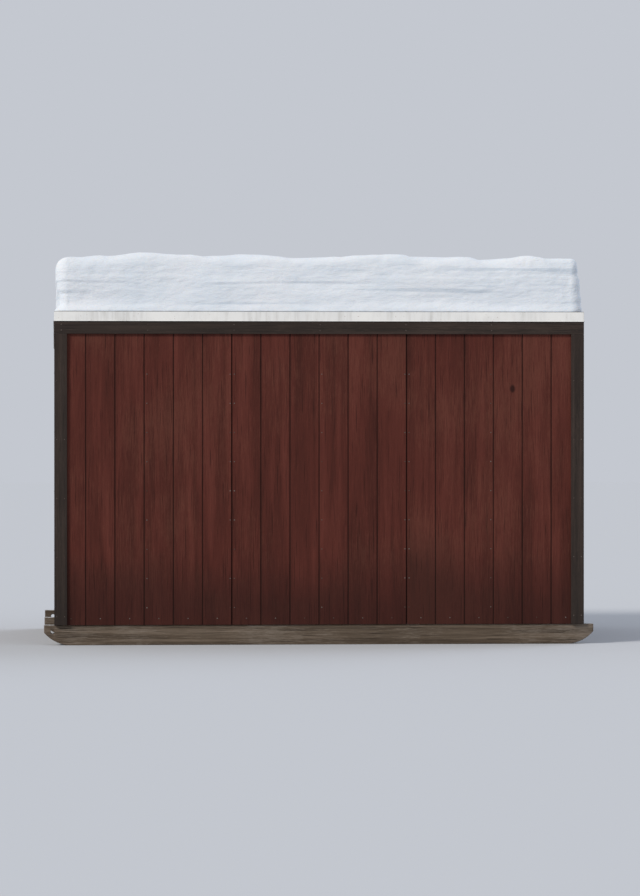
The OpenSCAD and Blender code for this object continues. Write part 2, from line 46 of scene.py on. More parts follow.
# Faces that the pieces share, read from the frame, in metres
wallLow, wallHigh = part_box("front_siding")
deckLow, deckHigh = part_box("roof_deck")
wallX = wallHigh.x
wallY = -wallLow.y
sidingThickness = wallHigh.y - wallLow.y
frameY = wallY - sidingThickness
frameX = wallX - sidingThickness
foot = wallLow.z
deckX = deckHigh.x
deckY = deckHigh.y
deckThickness = 0.012
deckUpright = 0.01202   # the same, measured upright
roofSlope = (deckHigh.z - deckLow.z - deckUpright) / (2 * deckY)
roofCos = math.cos(math.atan(roofSlope))


def deckTop(y):
    # Height of the roof plane: a straight fall from the front eave to the back one
    return deckHigh.z - (y + deckY) * roofSlope


def deckUnder(y):
    # Height of the deck's underside
    return deckTop(y) - deckUpright


# Noise

def cellNumber(cell, seed):
    # A repeatable number from 0 to 1 for a whole-numbered cell: the fraction of a large sine
    mixed = np.sin(cell @ np.array([127.1, 311.7, 74.7]) + seed * 53.37) * 43758.5453
    return mixed - np.floor(mixed)


def valueNoise(points, size, seed):
    # Random numbers at the corners of cells of that size, blended by 3t^2 - 2t^3 along each axis, -1 to 1
    scaled = points / np.asarray(size, float)
    cell = np.floor(scaled)
    t = scaled - cell
    t = t * t * (3 - 2 * t)
    total = np.zeros(points.shape[:-1])
    for corner in np.ndindex(2, 2, 2):
        share = np.prod(np.where(np.array(corner) == 1, t, 1 - t), axis=-1)
        total += share * cellNumber(cell + np.array(corner), seed)
    return 2 * total - 1


def fractalNoise(points, size, seed, octaves=3):
    # Sum of octaves, each half as wide and half as high as the last, divided by their heights
    size = np.asarray(size, float)
    total = sum(valueNoise(points, size / 2 ** k, seed + k) / 2 ** k for k in range(octaves))
    return total / (2 - 2 ** (1 - octaves))


# Surfaces: a surface is (points, list of face arrays), and a piece joins several.
# Axis 0 takes [u, v, w] as [y, z, x], axis 1 as [z, x, y] and axis 2 as [x, y, z], all right-handed
axisOrder = [[2, 0, 1], [1, 2, 0], [0, 1, 2]]


def rectangle(uLow, uHigh, vLow, vHigh):
    # Four corners, counter-clockwise
    return [[uLow, vLow], [uHigh, vLow], [uHigh, vHigh], [uLow, vHigh]]


def curved(a, corner, b, steps):
    # From a to b past the corner: (1-t)^2 a + 2t(1-t) corner + t^2 b
    t = np.linspace(0, 1, steps + 1)[None, :, None]
    return (1 - t) ** 2 * a + 2 * t * (1 - t) * corner + t ** 2 * b


def easedRing(corners, ease, steps=3):
    # Corners curved between points set back by the ease, or by 0.24 of a side at the most, with one more
    # point beyond each of them that keeps the flat faces flat when shaded
    corners = np.asarray(corners, float)
    ends, guards = [], []
    for shift in (1, -1):
        side = np.roll(corners, shift, axis=0) - corners
        length = np.linalg.norm(side, axis=1, keepdims=True)
        back = np.minimum(ease, 0.24 * length) / length
        ends.append((corners + side * back)[:, None])
        guards.append((corners + 2 * side * back)[:, None])
    curve = curved(ends[0], corners[:, None], ends[1], steps)
    return np.concatenate([guards[0], curve, guards[1]], axis=1).reshape(-1, 2)


def tubeFaces(rows, columns):
    # Four-sided faces between neighbouring rings of a closed tube, and one face over each end
    i = np.arange(rows - 1)[:, None] * columns
    j = np.arange(columns)
    k = (j + 1) % columns
    sides = np.stack([i + j, i + k, i + columns + k, i + columns + j], axis=-1).reshape(-1, 4)
    return [sides, np.stack([j[::-1], (rows - 1) * columns + j])]


def roundOver(ease):
    # From the tip of a rod or board it is e (1 - sin a) thinner at e (1 - cos a) along
    angle = np.linspace(0, math.pi / 2, 4)
    return ease * (1 - np.sin(angle)), ease * (1 - np.cos(angle))


def sweep(ring, stations, ease, axis):
    # The ring [u, v] carried along w and drawn in about its middle by 1 - inset / half where the ends round
    ring, stations = np.asarray(ring, float), np.asarray(stations, float)
    u, v = ring.T
    if np.sum(u * np.roll(v, -1) - v * np.roll(u, -1)) < 0:
        ring = ring[::-1]
    centre = (ring.max(axis=0) + ring.min(axis=0)) / 2
    half = (ring.max(axis=0) - ring.min(axis=0)) / 2
    start, end = stations[0], stations[-1]
    inset, lead = roundOver(ease)
    inner = stations[(stations > start + 2.5 * ease) & (stations < end - 2.5 * ease)]
    w = np.concatenate([start + lead, [start + 2 * ease], inner, [end - 2 * ease], (end - lead)[::-1]])
    shrink = np.concatenate([inset, np.zeros(len(inner) + 2), inset[::-1]])
    flat = centre + (ring - centre)[None] * (1 - shrink[:, None, None] / np.maximum(half, ease))
    points = np.concatenate([flat, np.broadcast_to(w[:, None, None], flat.shape[:2] + (1,))], axis=2)
    return points.reshape(-1, 3)[:, axisOrder[axis]], tubeFaces(*points.shape[:2])


def board(a, b, ease, along=None, step=0.25):
    # A straight board between two opposite corners, carried along its longest side or the one that is named
    low, high = np.sort([a, b], axis=0)
    axis = int(np.argmax(high - low)) if along is None else along
    u, v = (axis + 1) % 3, (axis + 2) % 3
    stations = np.linspace(low[axis], high[axis], int((high[axis] - low[axis]) / step) + 2)
    return sweep(easedRing(rectangle(low[u], high[u], low[v], high[v]), ease), stations, ease, axis)


def lathe(profile, centre, axis, sides=20):
    # A profile of [r, place along the axis] turned about the axis through the centre: r cos a, r sin a
    profile = np.asarray(profile, float)
    turn = np.arange(sides) / sides * 2 * math.pi
    u = profile[:, :1] * np.cos(turn)
    v = profile[:, :1] * np.sin(turn)
    w = np.broadcast_to(profile[:, 1:], u.shape)
    points = np.stack([u, v, w], axis=-1).reshape(-1, 3)[:, axisOrder[axis]]
    return points + np.asarray(centre, float), tubeFaces(len(profile), sides)


def rodProfile(radius, start, end, ease):
    # A straight rod with its ends rounded over
    inset, lead = roundOver(ease)
    rims = [np.stack([radius - inset, w], axis=1) for w in (start + lead, end - lead)]
    return np.concatenate([rims[0], rims[1][::-1]])


def heads(places, direction, radius, height, sides):
    # One flattened dome for each place, rooted 0.3 of its height deep: rings of r cos a at height h sin a
    places = np.asarray(places, float).reshape(-1, 3)
    direction = np.asarray(direction, float)
    side = np.cross(direction, [0.0, 0.3, 1.0])
    side /= np.linalg.norm(side)
    turn = (np.arange(sides) / sides * 2 * math.pi)[:, None]
    around = np.cos(turn) * side + np.sin(turn) * np.cross(direction, side)
    angle = np.array([0.0, 0.5, 1.0, 1.35])[:, None, None]
    rings = radius * np.cos(angle) * around + height * np.sin(angle) * direction
    dome = np.concatenate([radius * around[None] - 0.3 * height * direction, rings]).reshape(-1, 3)
    shift = (np.arange(len(places)) * len(dome))[:, None, None]
    faces = [(f + shift).reshape(-1, f.shape[1]) for f in tubeFaces(len(angle) + 1, sides)]
    return (places[:, None] + dome).reshape(-1, 3), faces


def joined(surfaces):
    # Surfaces end to end in one, with each one's faces moved on by the points before it
    points, faces, before = [], [], 0
    for part, partFaces in surfaces:
        points.append(part)
        faces += [f + before for f in partFaces]
        before += len(part)
    return np.concatenate(points), faces


# Where a board was sawn: a step in the grain, of which each board takes 1 to 10, the turn of the tree's
# heart from board to board, its distance from the board's middle, and the depth of a cut end
sawn = {"step": (1.37, 0.61, 0.83), "steps": 9, "golden": 0.618034, "turn": 2.4, "heart": 0.09,
        "end": 0.0005}


def grained(surface, along, seed, recess=0.0):
    # Adds what the finish reads: the grain's coordinates, along the board first and moved on by its steps,
    # the depth in a groove, from 0 to 1, and the place across from the tree's heart, with 1 on the cut ends
    points, faces = surface
    order = [along, (along + 1) % 3, (along + 2) % 3]
    shift = np.array(sawn["step"]) * ((seed * sawn["golden"]) % 1 * sawn["steps"] + 1)
    deep = np.broadcast_to(recess, len(points))[:, None]
    low, high = points.min(axis=0)[order], points.max(axis=0)[order]
    turn = seed * sawn["turn"]
    heart = (low + high)[1:] / 2 - sawn["heart"] * np.array([math.cos(turn), math.sin(turn)])
    toEnd = np.minimum(points[:, along] - low[0], high[0] - points[:, along])
    end = np.clip(1 - toEnd / sawn["end"], 0, 1)[:, None]
    finish = [points[:, order] + shift, deep, points[:, order[1:]] - heart, end]
    return points, faces, np.concatenate(finish, axis=1)


def stretchedTo(points, low, high, newHigh, newLow=None):
    # Heights from low to high are spread again between the new foot and the new head of each point
    newLow = low if newLow is None else newLow
    points[:, 2] = newLow + (points[:, 2] - low) * (newHigh - newLow) / (high - low)
    return points


def newMesh(name, points, faces):
    # Blender's mesh from points and arrays of faces
    mesh = bpy.data.meshes.new(name)
    mesh.from_pydata(points, [], [row for f in faces for row in f.tolist()])
    return mesh


def newObject(name, data):
    # An object that shows the data in the scene
    thing = bpy.data.objects.new(name, data)
    bpy.context.scene.collection.objects.link(thing)
    return thing


def pieceName(node):
    # The node's name in camelCase
    title = node.title().replace("_", "")
    return title[0].lower() + title[1:]


def makePiece(parts, slot, *replaced, name=None, material=None):
    # Joins the parts into one mesh at the origin, with the finish's attributes where the parts carry them
    name = name or pieceName(replaced[0])
    mesh = newMesh(name, *joined([part[:2] for part in parts]))
    if len(parts[0]) > 2:
        finish = np.concatenate([part[2] for part in parts]).astype(np.float32)
        for key, kind, field, columns in (("grain", "FLOAT_VECTOR", "vector", slice(0, 3)),
                                          ("recess", "FLOAT", "value", slice(3, 4)),
                                          ("heart", "FLOAT_VECTOR", "vector", slice(4, 7))):
            mesh.attributes.new(key, kind, "POINT").data.foreach_set(field, finish[:, columns].ravel())
    mesh.polygons.foreach_set("use_smooth", np.full(len(mesh.polygons), True))
    mesh.materials.append(material or finishes[slot])
    mesh.update()
    piece = newObject(name, mesh)
    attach(piece, "root")
    if replaced:
        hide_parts(*replaced)
    return piece


def cutAway(surface, cutter):
    # The surface less the cutter's closed one by an exact boolean, with an array for each size of face
    piece, tool = [newObject("cut", newMesh("cut", *part)) for part in (surface, cutter)]
    change = piece.modifiers.new("cut", "BOOLEAN")
    change.operation = "DIFFERENCE"
    change.solver = "EXACT"
    change.object = tool
    bpy.context.view_layer.update()
    result = bpy.data.meshes.new_from_object(piece.evaluated_get(bpy.context.evaluated_depsgraph_get()))
    points = np.empty(3 * len(result.vertices), np.float32)
    result.vertices.foreach_get("co", points)
    polygons = [list(polygon.vertices) for polygon in result.polygons]
    for mesh in (piece.data, tool.data, result):
        bpy.data.meshes.remove(mesh)
    faces = [np.array([f for f in polygons if len(f) == n]) for n in sorted(set(map(len, polygons)))]
    return points.reshape(-1, 3).astype(float), faces


# Materials

def hexColour(code):
    # sRGB to linear: c / 12.92 up to 0.04045, and ((c + 0.055) / 1.055) ^ 2.4 above it
    c = np.array([int(code[i:i + 2], 16) for i in (1, 3, 5)]) / 255
    linear = np.where(c <= 0.04045, c / 12.92, ((c + 0.055) / 1.055) ** 2.4)
    return (*linear.tolist(), 1.0)


def setSockets(tree, node, values):
    # Fixed values are set on the node's sockets and other nodes' outputs linked. A list fills them in order
    for key, value in values.items() if isinstance(values, dict) else enumerate(values):
        if isinstance(value, bpy.types.NodeSocket):
            tree.links.new(value, node.inputs[key])
        else:
            node.inputs[key].default_value = value


def addNode(tree, kind, inputs=None, output=0, stops=(), **settings):
    # One node with its settings, links and ramp stops, given back as one of its outputs
    node = tree.nodes.new("ShaderNode" + kind)
    for key, value in settings.items():
        setattr(node, key, value)
    setSockets(tree, node, inputs or {})
    for place, code in stops[2:]:
        node.color_ramp.elements.new(place)
    for k, (place, code) in enumerate(stops):
        node.color_ramp.elements[k].position = place
        node.color_ramp.elements[k].color = hexColour(code)
    return node.outputs[output] if node.outputs else None


def layered(tree, colour, *layers):
    # Lays colours over the one below. A layer is its colour, its largest share and its ranges, each of which
    # multiplies the share by how far a value has come from the first limit to the second
    for code, share, *ranges in layers:
        for value, low, high, *curve in ranges:
            share = addNode(tree, "MapRange", [value, low, high, 0.0, share],
                            interpolation_type=curve[0] if curve else "LINEAR")
        colour = addNode(tree, "Mix", {0: share, 6: colour, 7: hexColour(code)}, 2, data_type="RGBA")
    return colour


def patterns(tree, vector, **rows):
    # Noises by real size in metres, one for all axes or one for each, detail, roughness and distortion.
    # Their values keep mostly to 0.3 to 0.7, and the limits that read them lie there
    made = {}
    for key, (size, detail, roughness, *distortion) in rows.items():
        scale = [1 / s for s in np.broadcast_to(size, 3)]
        sized = addNode(tree, "Mapping", {"Vector": vector, "Scale": scale})
        made[key] = addNode(tree, "TexNoise", {
            "Vector": sized, "Scale": 1.0, "Detail": detail, "Roughness": roughness,
            "Distortion": distortion[0] if distortion else 0.0})
    return made


def newMaterial(name):
    # A material whose node tree holds one Principled shader
    material = bpy.data.materials.new(name)
    material.use_nodes = True
    return material, material.node_tree


def shaded(material, sockets):
    # The material with its shader's sockets set and linked
    tree = material.node_tree
    setSockets(tree, tree.nodes["Principled BSDF"], sockets)
    return material


def timber(name, look, axis=None):
    # Sawn softwood: broad growth bands and fine fibre along the grain, knots, drying cracks, worn patches,
    # darkening that rises from the foot, dirt and painted shade in the grooves, rings on the cut ends and
    # frost on what looks up.
    # The grain follows the board's own coordinates, or Object coordinates with a named axis first
    material, tree = newMaterial(name)
    band, fibre, hair, crack, knot, footDarkTop = (
        look[key] for key in ("band", "fibre", "hair", "crack", "knot", "footDarkTop"))
    place = addNode(tree, "TexCoord", output="Object")
    xyz = addNode(tree, "SeparateXYZ", [place]).node.outputs
    if axis is None:
        vector = addNode(tree, "Attribute", output="Vector", attribute_name="grain")
    else:
        vector = addNode(tree, "CombineXYZ", [xyz[(axis + k) % 3] for k in range(3)])
    facing = addNode(tree, "NewGeometry", output="Normal")
    # Fibres are 30 times as long as wide, hairs 25 times and cracks 45 times
    value = patterns(
        tree, vector, bands=((look["bandLength"], band, band), 4.0, 0.6, 0.4),
        fibre=((fibre * 30, fibre, fibre), 3.0, 0.65), hairs=((hair * 25, hair, hair), 2.0, 0.6),
        patch=(look["patch"], 5.0, 0.6), crack=((crack * 45, crack, crack), 1.0, 0.4))
    value.update(patterns(tree, place, rime=(look["rime"], 4.0, 0.7)), height=xyz[2],
                 upward=addNode(tree, "SeparateXYZ", [facing], 2),
                 split=addNode(tree, "MapRange", [value["crack"], 0.66, 0.72, 0.0, look["crackDepth"]]))
    # Each sum: the first value times the number, plus the last one
    for key, first, times, last in (
            ("lines", "hairs", 0.7, "fibre"), ("frayed", "lines", 0.8, "patch"),
            ("tide", "patch", -0.9, "height"), ("settled", "rime", 0.7, "upward"),
            ("ridges", "lines", 0.6, "bands"), ("relief", "split", -1.2, "ridges")):
        value[key] = addNode(tree, "Math", [value[first], times, value[last]], operation="MULTIPLY_ADD")
    tone = addNode(tree, "ValToRGB", [value["bands"]], stops=[
        (0.30, look["dark"]), (0.50, look["base"]), (0.72, look["pale"])])
    contrast = addNode(tree, "MapRange", [
        value["lines"], 0.6, 1.1, 1 - look["contrast"], 1 + look["contrast"]])
    apart = 1 / look["knotSpacing"]
    sized = addNode(tree, "Mapping", {"Vector": vector, "Scale": (apart / 1.6, apart, apart)})
    knots = addNode(tree, "TexVoronoi", {"Vector": sized, "Scale": 1.0})
    colour = layered(
        tree, addNode(tree, "VectorMath", {0: tone, "Scale": contrast}, operation="SCALE"),
        (look["wornColour"], look["worn"], (value["frayed"], 1.16, 1.34)),
        (look["knotColour"], 1.0, (knots, knot * 2.2, knot, "SMOOTHSTEP")),
        (look["crackColour"], value["split"]),
        # Darker towards the foot, up to an uneven line across the patches
        (look["dampColour"], look["damp"], (
            value["tide"], footDarkTop, footDarkTop - look["footDarkFade"], "SMOOTHSTEP")))
    if axis is None:
        recess = addNode(tree, "Attribute", output="Fac", attribute_name="recess")
        heart = addNode(tree, "Attribute", output="Vector", attribute_name="heart")
        end = addNode(tree, "SeparateXYZ", [heart], 2)
        # A wave of scale s has its rings 0.314 / s apart
        rings = addNode(tree, "TexWave", {
            "Vector": heart, "Scale": 0.314 / look["ring"], "Distortion": 1.6, "Detail": 2.0,
            "Detail Scale": 0.4}, "Fac", wave_type="RINGS", rings_direction="Z")
        # Grooves and joints darken as deep as the recess attribute says: dirt and painted shade
        colour = layered(tree, colour, (look["crackColour"], look["dirt"], (recess, 0.0, 1.0)),
                         (look["crackColour"], 0.6, (rings, 0.0, 1.0), (end, 0.0, 1.0)))
    colour = layered(tree, colour, (look["frostColour"], look["frost"], (value["settled"], 1.20, 1.40)))
    gloss = addNode(tree, "MapRange", [
        value["fibre"], 0.3, 0.7, look["roughness"] - look["uneven"], look["roughness"] + look["uneven"]])
    bump = addNode(tree, "Bump", {
        "Strength": look["bump"], "Distance": look["relief"], "Height": value["relief"]})
    return shaded(material, {"Base Color": colour, "Roughness": gloss, "Normal": bump, "Metallic": 0.0,
                             "IOR": 1.5, "Specular IOR Level": look["sheen"]})


# Rough-sawn fir plywood under an old red-brown stain: dry and fibrous, darker towards the foot, dark in
# its grooves from dirt and painted shade, and dark in its drying cracks. Real fibres are under 1 mm wide:
# hairs are drawn at 1.5 mm, and bundles of them at 5 mm to show from afar. Growth rings are 2 to 4 mm apart
# and are drawn at 6 mm
stainLook = {
    "dark": "#42201a", "base": "#522821", "pale": "#61322a", "wornColour": "#6d4538",
    "knotColour": "#2e1612", "crackColour": "#1d0f0c", "dampColour": "#2b1613", "frostColour": "#dfe5ea",
    "bandLength": 1.3, "band": 0.09, "fibre": 0.005, "hair": 0.0015, "contrast": 0.14, "patch": 1 / 1.3,
    "worn": 0.30, "knotSpacing": 0.55, "knot": 0.020, "crack": 0.006, "crackDepth": 0.55, "ring": 0.006,
    "damp": 0.62, "footDarkTop": 0.32, "footDarkFade": 0.55, "dirt": 0.72, "frost": 0.0, "rime": 1 / 60,
    "sheen": 0.15, "roughness": 0.84, "uneven": 0.07, "bump": 0.8, "relief": 0.0015,
}
# Trim boards: planed pine under a nearly black brown stain, a little smoother, frosted on top
trimLook = dict(
    stainLook, dark="#221b17", base="#2e2520", pale="#3b302a", wornColour="#4c4039", knotColour="#17110e",
    crackColour="#120e0c", dampColour="#1c1714", band=0.03, fibre=0.004, worn=0.35, damp=0.4, frost=0.6,
    sheen=0.25, roughness=0.74, relief=0.0007)
# Unpainted runner timber: greyed by weather, scraped by ice along its sole, with long open cracks
runnerLook = dict(
    stainLook, dark="#453b32", base="#5b4f43", pale="#74675a", wornColour="#8b8278", knotColour="#30271f",
    crackColour="#241d18", band=0.022, fibre=0.004, contrast=0.2, worn=0.5, crackDepth=0.75, damp=0.0,
    frost=0.9, roughness=0.88, relief=0.0016)
# Clean sawn pine of the framing, kept dry indoors
pineLook = dict(
    stainLook, dark="#b08a58", base="#c8a877", pale="#dabf92", wornColour="#b99868", knotColour="#6b4526",
    crackColour="#8a6a42", bandLength=0.8, band=0.018, fibre=0.004, contrast=0.08, crackDepth=0.4, damp=0.0,
    roughness=0.7, relief=0.0005)
# Sanded plywood of the floor and deck: broad rotary-cut figure
plywoodLook = dict(
    stainLook, dark="#9a7546", base="#b8945f", pale="#cbab79", wornColour="#8a6a44", knotColour="#5c3b20",
    crackColour="#7a5a36", bandLength=0.9, band=0.07, fibre=0.006, contrast=0.07, worn=0.35, crackDepth=0.2,
    damp=0.0, roughness=0.68, relief=0.0004)


def snowMaterial(look):
    # Wind-packed snow: matt, softly lumpy like crust, grainy only in patches, with thin darker lines where
    # old layers end and painted shade in the pits between its grains
    material, tree = newMaterial("windPackedSnow")
    place = addNode(tree, "TexCoord", output="Object")
    length, lump = look["layerLength"], look["lump"]
    value = patterns(
        tree, place, drift=(look["drift"], 7.0, 0.6), grit=(look["grain"], 2.0, 0.7),
        lumps=((lump, lump, lump / look["flatness"]), 3.0, 0.55),
        strata=((length, length, look["layer"]), 2.0, 0.5))
    facing = addNode(tree, "NewGeometry", output="Normal")
    upward = addNode(tree, "SeparateXYZ", [facing], 2)
    tone = addNode(tree, "ValToRGB", [value["drift"]], stops=[
        (0.34, look["shade"]), (0.64, look["bright"])])
    colour = layered(
        tree, tone,
        (look["layerShade"], look["layerShare"], (value["strata"], 0.60, 0.68), (upward, 0.7, 0.2)),
        # Painted shade in the pits between grains, where the grit noise is low
        (look["layerShade"], look["pitPaintedShadeShare"], (value["grit"], 0.44, 0.30)))
    broad = addNode(tree, "Bump", {"Strength": 0.55, "Distance": look["relief"], "Height": value["lumps"]})
    patches = addNode(tree, "MapRange", [value["drift"], 0.38, 0.62, 0.3, 1.0])
    grains = addNode(tree, "Math", [value["grit"], patches], operation="MULTIPLY")
    fine = addNode(tree, "Bump", {
        "Strength": 0.6, "Distance": look["grain"] * 0.6, "Height": grains, "Normal": broad})
    return shaded(material, {
        "Base Color": colour, "Normal": fine, "Metallic": 0.0, "IOR": 1.31, "Roughness": 0.9,
        "Specular IOR Level": 0.3, "Subsurface Weight": look["glow"], "Subsurface Scale": look["depth"],
        "Subsurface Radius": (0.6, 0.8, 1.0)})


def coatedMaterial(look):
    # Factory-painted folded steel: a smooth white film that has chalked in places, with grey runs there
    # where meltwater dries, and a few rusty chips
    material, tree = newMaterial("whiteCoatedSteel")
    place, run = addNode(tree, "TexCoord", output="Object"), look["run"]
    value = patterns(tree, place, chalk=(look["patch"], 5.0, 0.6), runs=((run, run, run * 10), 3.0, 0.6),
                     chips=(look["chip"], 2.0, 0.5))
    tone = addNode(tree, "ValToRGB", [value["chalk"]], stops=[
        (0.35, look["chalked"]), (0.62, look["paint"])])
    colour = layered(
        tree, tone,
        (look["dirt"], look["dirtShare"], (value["runs"], 0.46, 0.72), (value["chalk"], 0.60, 0.42)),
        (look["rust"], 1.0, (value["chips"], 0.735, 0.75)))
    gloss = addNode(tree, "MapRange", [
        value["chalk"], 0.65, 0.35, look["roughness"], look["chalkedRoughness"]])
    return shaded(material, {"Base Color": colour, "Roughness": gloss, "Metallic": 0.0, "IOR": 1.5,
                             "Specular IOR Level": 0.4})


def feltMaterial(look):
    # Mineral-faced bitumen felt: nearly black, with pale grit pressed into it
    material, tree = newMaterial("mineralFelt")
    place = addNode(tree, "TexCoord", output="Object")
    grit = addNode(tree, "TexVoronoi", {"Vector": place, "Scale": 1 / look["grit"]})
    grey = addNode(tree, "SeparateColor", [grit.node.outputs["Color"]])
    tone = addNode(tree, "ValToRGB", [grey], stops=[(0.55, look["bitumen"]), (1.0, look["stone"])])
    bump = addNode(tree, "Bump", {"Strength": 0.6, "Distance": look["grit"] * 0.5, "Height": grit})
    return shaded(material, {"Base Color": tone, "Normal": bump, "Metallic": 0.0, "Roughness": 0.95})


def blackSteelMaterial(look):
    # Black paint on forged steel: satin, chalky in patches, rubbed and touched with rust on its edges
    material, tree = newMaterial("blackPaintedSteel")
    place = addNode(tree, "TexCoord", output="Object")
    value = patterns(tree, place, wear=(look["wear"], 6.0, 0.7), chalk=(look["patch"], 4.0, 0.65))
    edge = addNode(tree, "NewGeometry", output="Pointiness")
    edgeWear = addNode(tree, "Math", [edge, 1.4, value["wear"]], operation="MULTIPLY_ADD")
    colour = layered(tree, hexColour(look["paint"]), (look["chalky"], 1.0, (value["chalk"], 0.40, 0.65)),
                     (look["rust"], 0.85, (edgeWear, 1.30, 1.46)))
    gloss = addNode(tree, "MapRange", [value["wear"], 0.3, 0.7, 0.38, 0.6])
    bump = addNode(tree, "Bump", {"Strength": 0.3, "Distance": look["relief"], "Height": value["wear"]})
    return shaded(material, {"Base Color": colour, "Roughness": gloss, "Normal": bump, "IOR": 1.5})


def nailMaterial(look):
    # Galvanised nail heads that were stained over and have begun to rust
    material, tree = newMaterial("weatheredNailHead")
    place = addNode(tree, "TexCoord", output="Object")
    value = patterns(tree, place, spots=(look["spot"], 3.0, 0.5))
    tone = addNode(tree, "ValToRGB", [value["spots"]], stops=[(0.35, look["rust"]), (0.65, look["zinc"])])
    return shaded(material, {"Base Color": tone, "Metallic": 0.4, "Roughness": 0.65})


# The material of each slot, then those of nail heads and of the frame's own pieces.
# Snow grains are 1 to 2 mm and are drawn at 7 mm, to show at all
finishes = {
    "stained_siding": timber("stainedFirPlywood", stainLook),
    "dark_trim": timber("stainedPineTrim", trimLook),
    "runner_timber": timber("weatheredRunnerTimber", runnerLook),
    "settled_snow": snowMaterial({
        "bright": "#e4e9ef", "shade": "#dbe3eb", "layerShade": "#a8b9c9", "layerShare": 0.35,
        "pitPaintedShadeShare": 0.15, "drift": 1 / 2.6, "layerLength": 1 / 0.7, "layer": 0.055, "lump": 0.11,
        "flatness": 2.6, "grain": 0.007, "relief": 0.020, "glow": 0.1, "depth": 0.012}),
    "white_coated_steel": coatedMaterial({
        "paint": "#ededea", "chalked": "#e2e3e2", "patch": 0.4, "dirt": "#a9a69f", "dirtShare": 0.45,
        "run": 0.040, "rust": "#7d5238", "chip": 0.012, "roughness": 0.32, "chalkedRoughness": 0.57}),
    "black_hardware": blackSteelMaterial({
        "paint": "#242528", "chalky": "#35363a", "rust": "#5d4130", "wear": 1 / 22, "patch": 1 / 60,
        "relief": 0.0006}),
}
nailSteel = nailMaterial({"rust": "#3f2a20", "zinc": "#7a716b", "spot": 1 / 9})
framingAlong = [timber("sawnPineAlong" + "XYZ"[k], pineLook, k) for k in range(3)]
floorPlywood = timber("sandedPlywood", plywoodLook, 1)
trimUpright = timber("stainedPineTrimUpright", trimLook, 2)
roofFelt = feltMaterial({"bitumen": "#2b2c2e", "stone": "#5d6064", "grit": 0.004})
print("materials made")

# Siding: sheets of grooved plywood, as in the frame, with softened arrises and a slight bow
siding = {
    "sheet": 1.220, "groovePitch": 0.203, "grooveWidth": 0.0095, "grooveDepth": 0.003, "grooveSlope": 0.001,
    "lip": 0.004, "lipReach": 0.006, "lipClearance": 0.0003, "rebate": 0.009, "ease": 0.0009, "bow": 0.0009,
    "bowSize": (0.45, 0.45, 0.7), "bowShift": (3.1, 1.7), "step": 0.06, "doorwayReach": 0.02,
    "doorwayEase": 0.0002,
}


def sheetSpans(span):
    # Left and right edges of whole sheets about the middle of the wall and of the cut ones at its ends
    sheets = math.ceil(span / siding["sheet"])
    joints = [(i - sheets / 2) * siding["sheet"] for i in range(1, sheets)]
    return list(zip([-span / 2, *joints], [*joints, span / 2]))


def grooveEdges(left, right, first):
    # Right edges of a sheet's grooves, whole pitches from its left joint, or the first sheet's right one
    pitch, width, joint = siding["groovePitch"], siding["grooveWidth"], right if first else left
    counts = range(math.ceil((left - joint) / pitch), math.floor((right - joint) / pitch) + 1)
    return [x for x in (joint + k * pitch for k in counts) if left + 2 * width < x < right - width]


def grooveOutline(x, face):
    # Four corners of one groove cut into a face that looks along -v
    left, depth, slope = x - siding["grooveWidth"], siding["grooveDepth"], siding["grooveSlope"]
    return [[left, face], [left + slope, face + depth], [x - slope, face + depth], [x, face]]


def sheetOutline(left, right, first, last):
    # A sheet from above, counter-clockwise: grooved face, lip or end on the right, back, rebate on the left
    face, lip = -sidingThickness, -siding["lip"]
    corners = [[left, face]]
    for x in grooveEdges(left, right, first):
        corners += grooveOutline(x, face)
    if last:
        corners += [[right, face], [right, 0]]
    else:
        faceRight, reach = right - siding["grooveWidth"], right + siding["lipReach"]
        corners += [[faceRight, face], [faceRight, lip], [reach, lip], [reach, 0]]
    if first:
        return corners + [[left, 0]]
    inner, back = left + siding["rebate"], lip - siding["lipClearance"]
    return corners + [[inner, 0], [inner, back], [left, back]]


def turned(points, quarters):
    # Turned about Z by quarter turns
    c, s = round(math.cos(quarters * math.pi / 2)), round(math.sin(quarters * math.pi / 2))
    return points @ np.array([[c, s, 0], [-s, c, 0], [0, 0, 1]], float)


def recessAt(points, out, quarters):
    # 1 in the grooves and joints of the outer face and 0 elsewhere, with the wall turned back to the front
    inward = turned(points, -quarters)[:, 1] + out
    depth = np.clip((inward + sidingThickness) / siding["bow"] - 1, 0, 1)
    return np.where(inward < -sidingThickness / 4, depth, 0)


def wallSheets(span, out, quarters, headAt, seed, opening=None):
    # The wall's sheets stood up and carried from the foot to the head, which may follow the roof
    spans, shift = sheetSpans(span), siding["bowShift"]
    stations = np.arange(foot, deckHigh.z, siding["step"])
    parts = []
    for i, (left, right) in enumerate(spans):
        ring = easedRing(sheetOutline(left, right, i == 0, i == len(spans) - 1), siding["ease"], 2)
        points, faces = sweep(ring, stations, siding["ease"], 2)
        wave = valueNoise(points + seed * shift[0] + i * shift[1], siding["bowSize"], seed)
        points[:, 1] -= np.where(points[:, 1] < -sidingThickness / 2, siding["bow"] * wave, 0)
        points = turned(points + [0, -out, 0], quarters)
        points = stretchedTo(points, foot, stations[-1], headAt(points[:, 1]))
        if opening is not None:
            points, faces = cutAway((points, faces), opening)
        parts.append(grained((points, faces), 2, seed * 4 + i, recessAt(points, out, quarters)))
    return parts


def levelHead(y):
    # Both long walls end level under the deck
    return np.full_like(y, deckUnder(-frameY if y.mean() < 0 else wallY))


doorwayLow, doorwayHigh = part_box("door_frame")
doorway = board([frameX - siding["doorwayReach"], doorwayLow.y, doorwayLow.z],
                [wallX + siding["doorwayReach"], doorwayHigh.y, doorwayHigh.z], siding["doorwayEase"])
for place, *wall in (("front", 2 * wallX, frameY, 0, levelHead, 1),
                     ("back", 2 * wallX, frameY, 2, levelHead, 2),
                     ("left_end", 2 * frameY, frameX, 3, deckUnder, 3),
                     ("right_end", 2 * frameY, frameX, 1, deckUnder, 4, doorway)):
    makePiece(wallSheets(*wall), "stained_siding", place + "_siding", name=pieceName("siding_" + place))
print("siding hung")

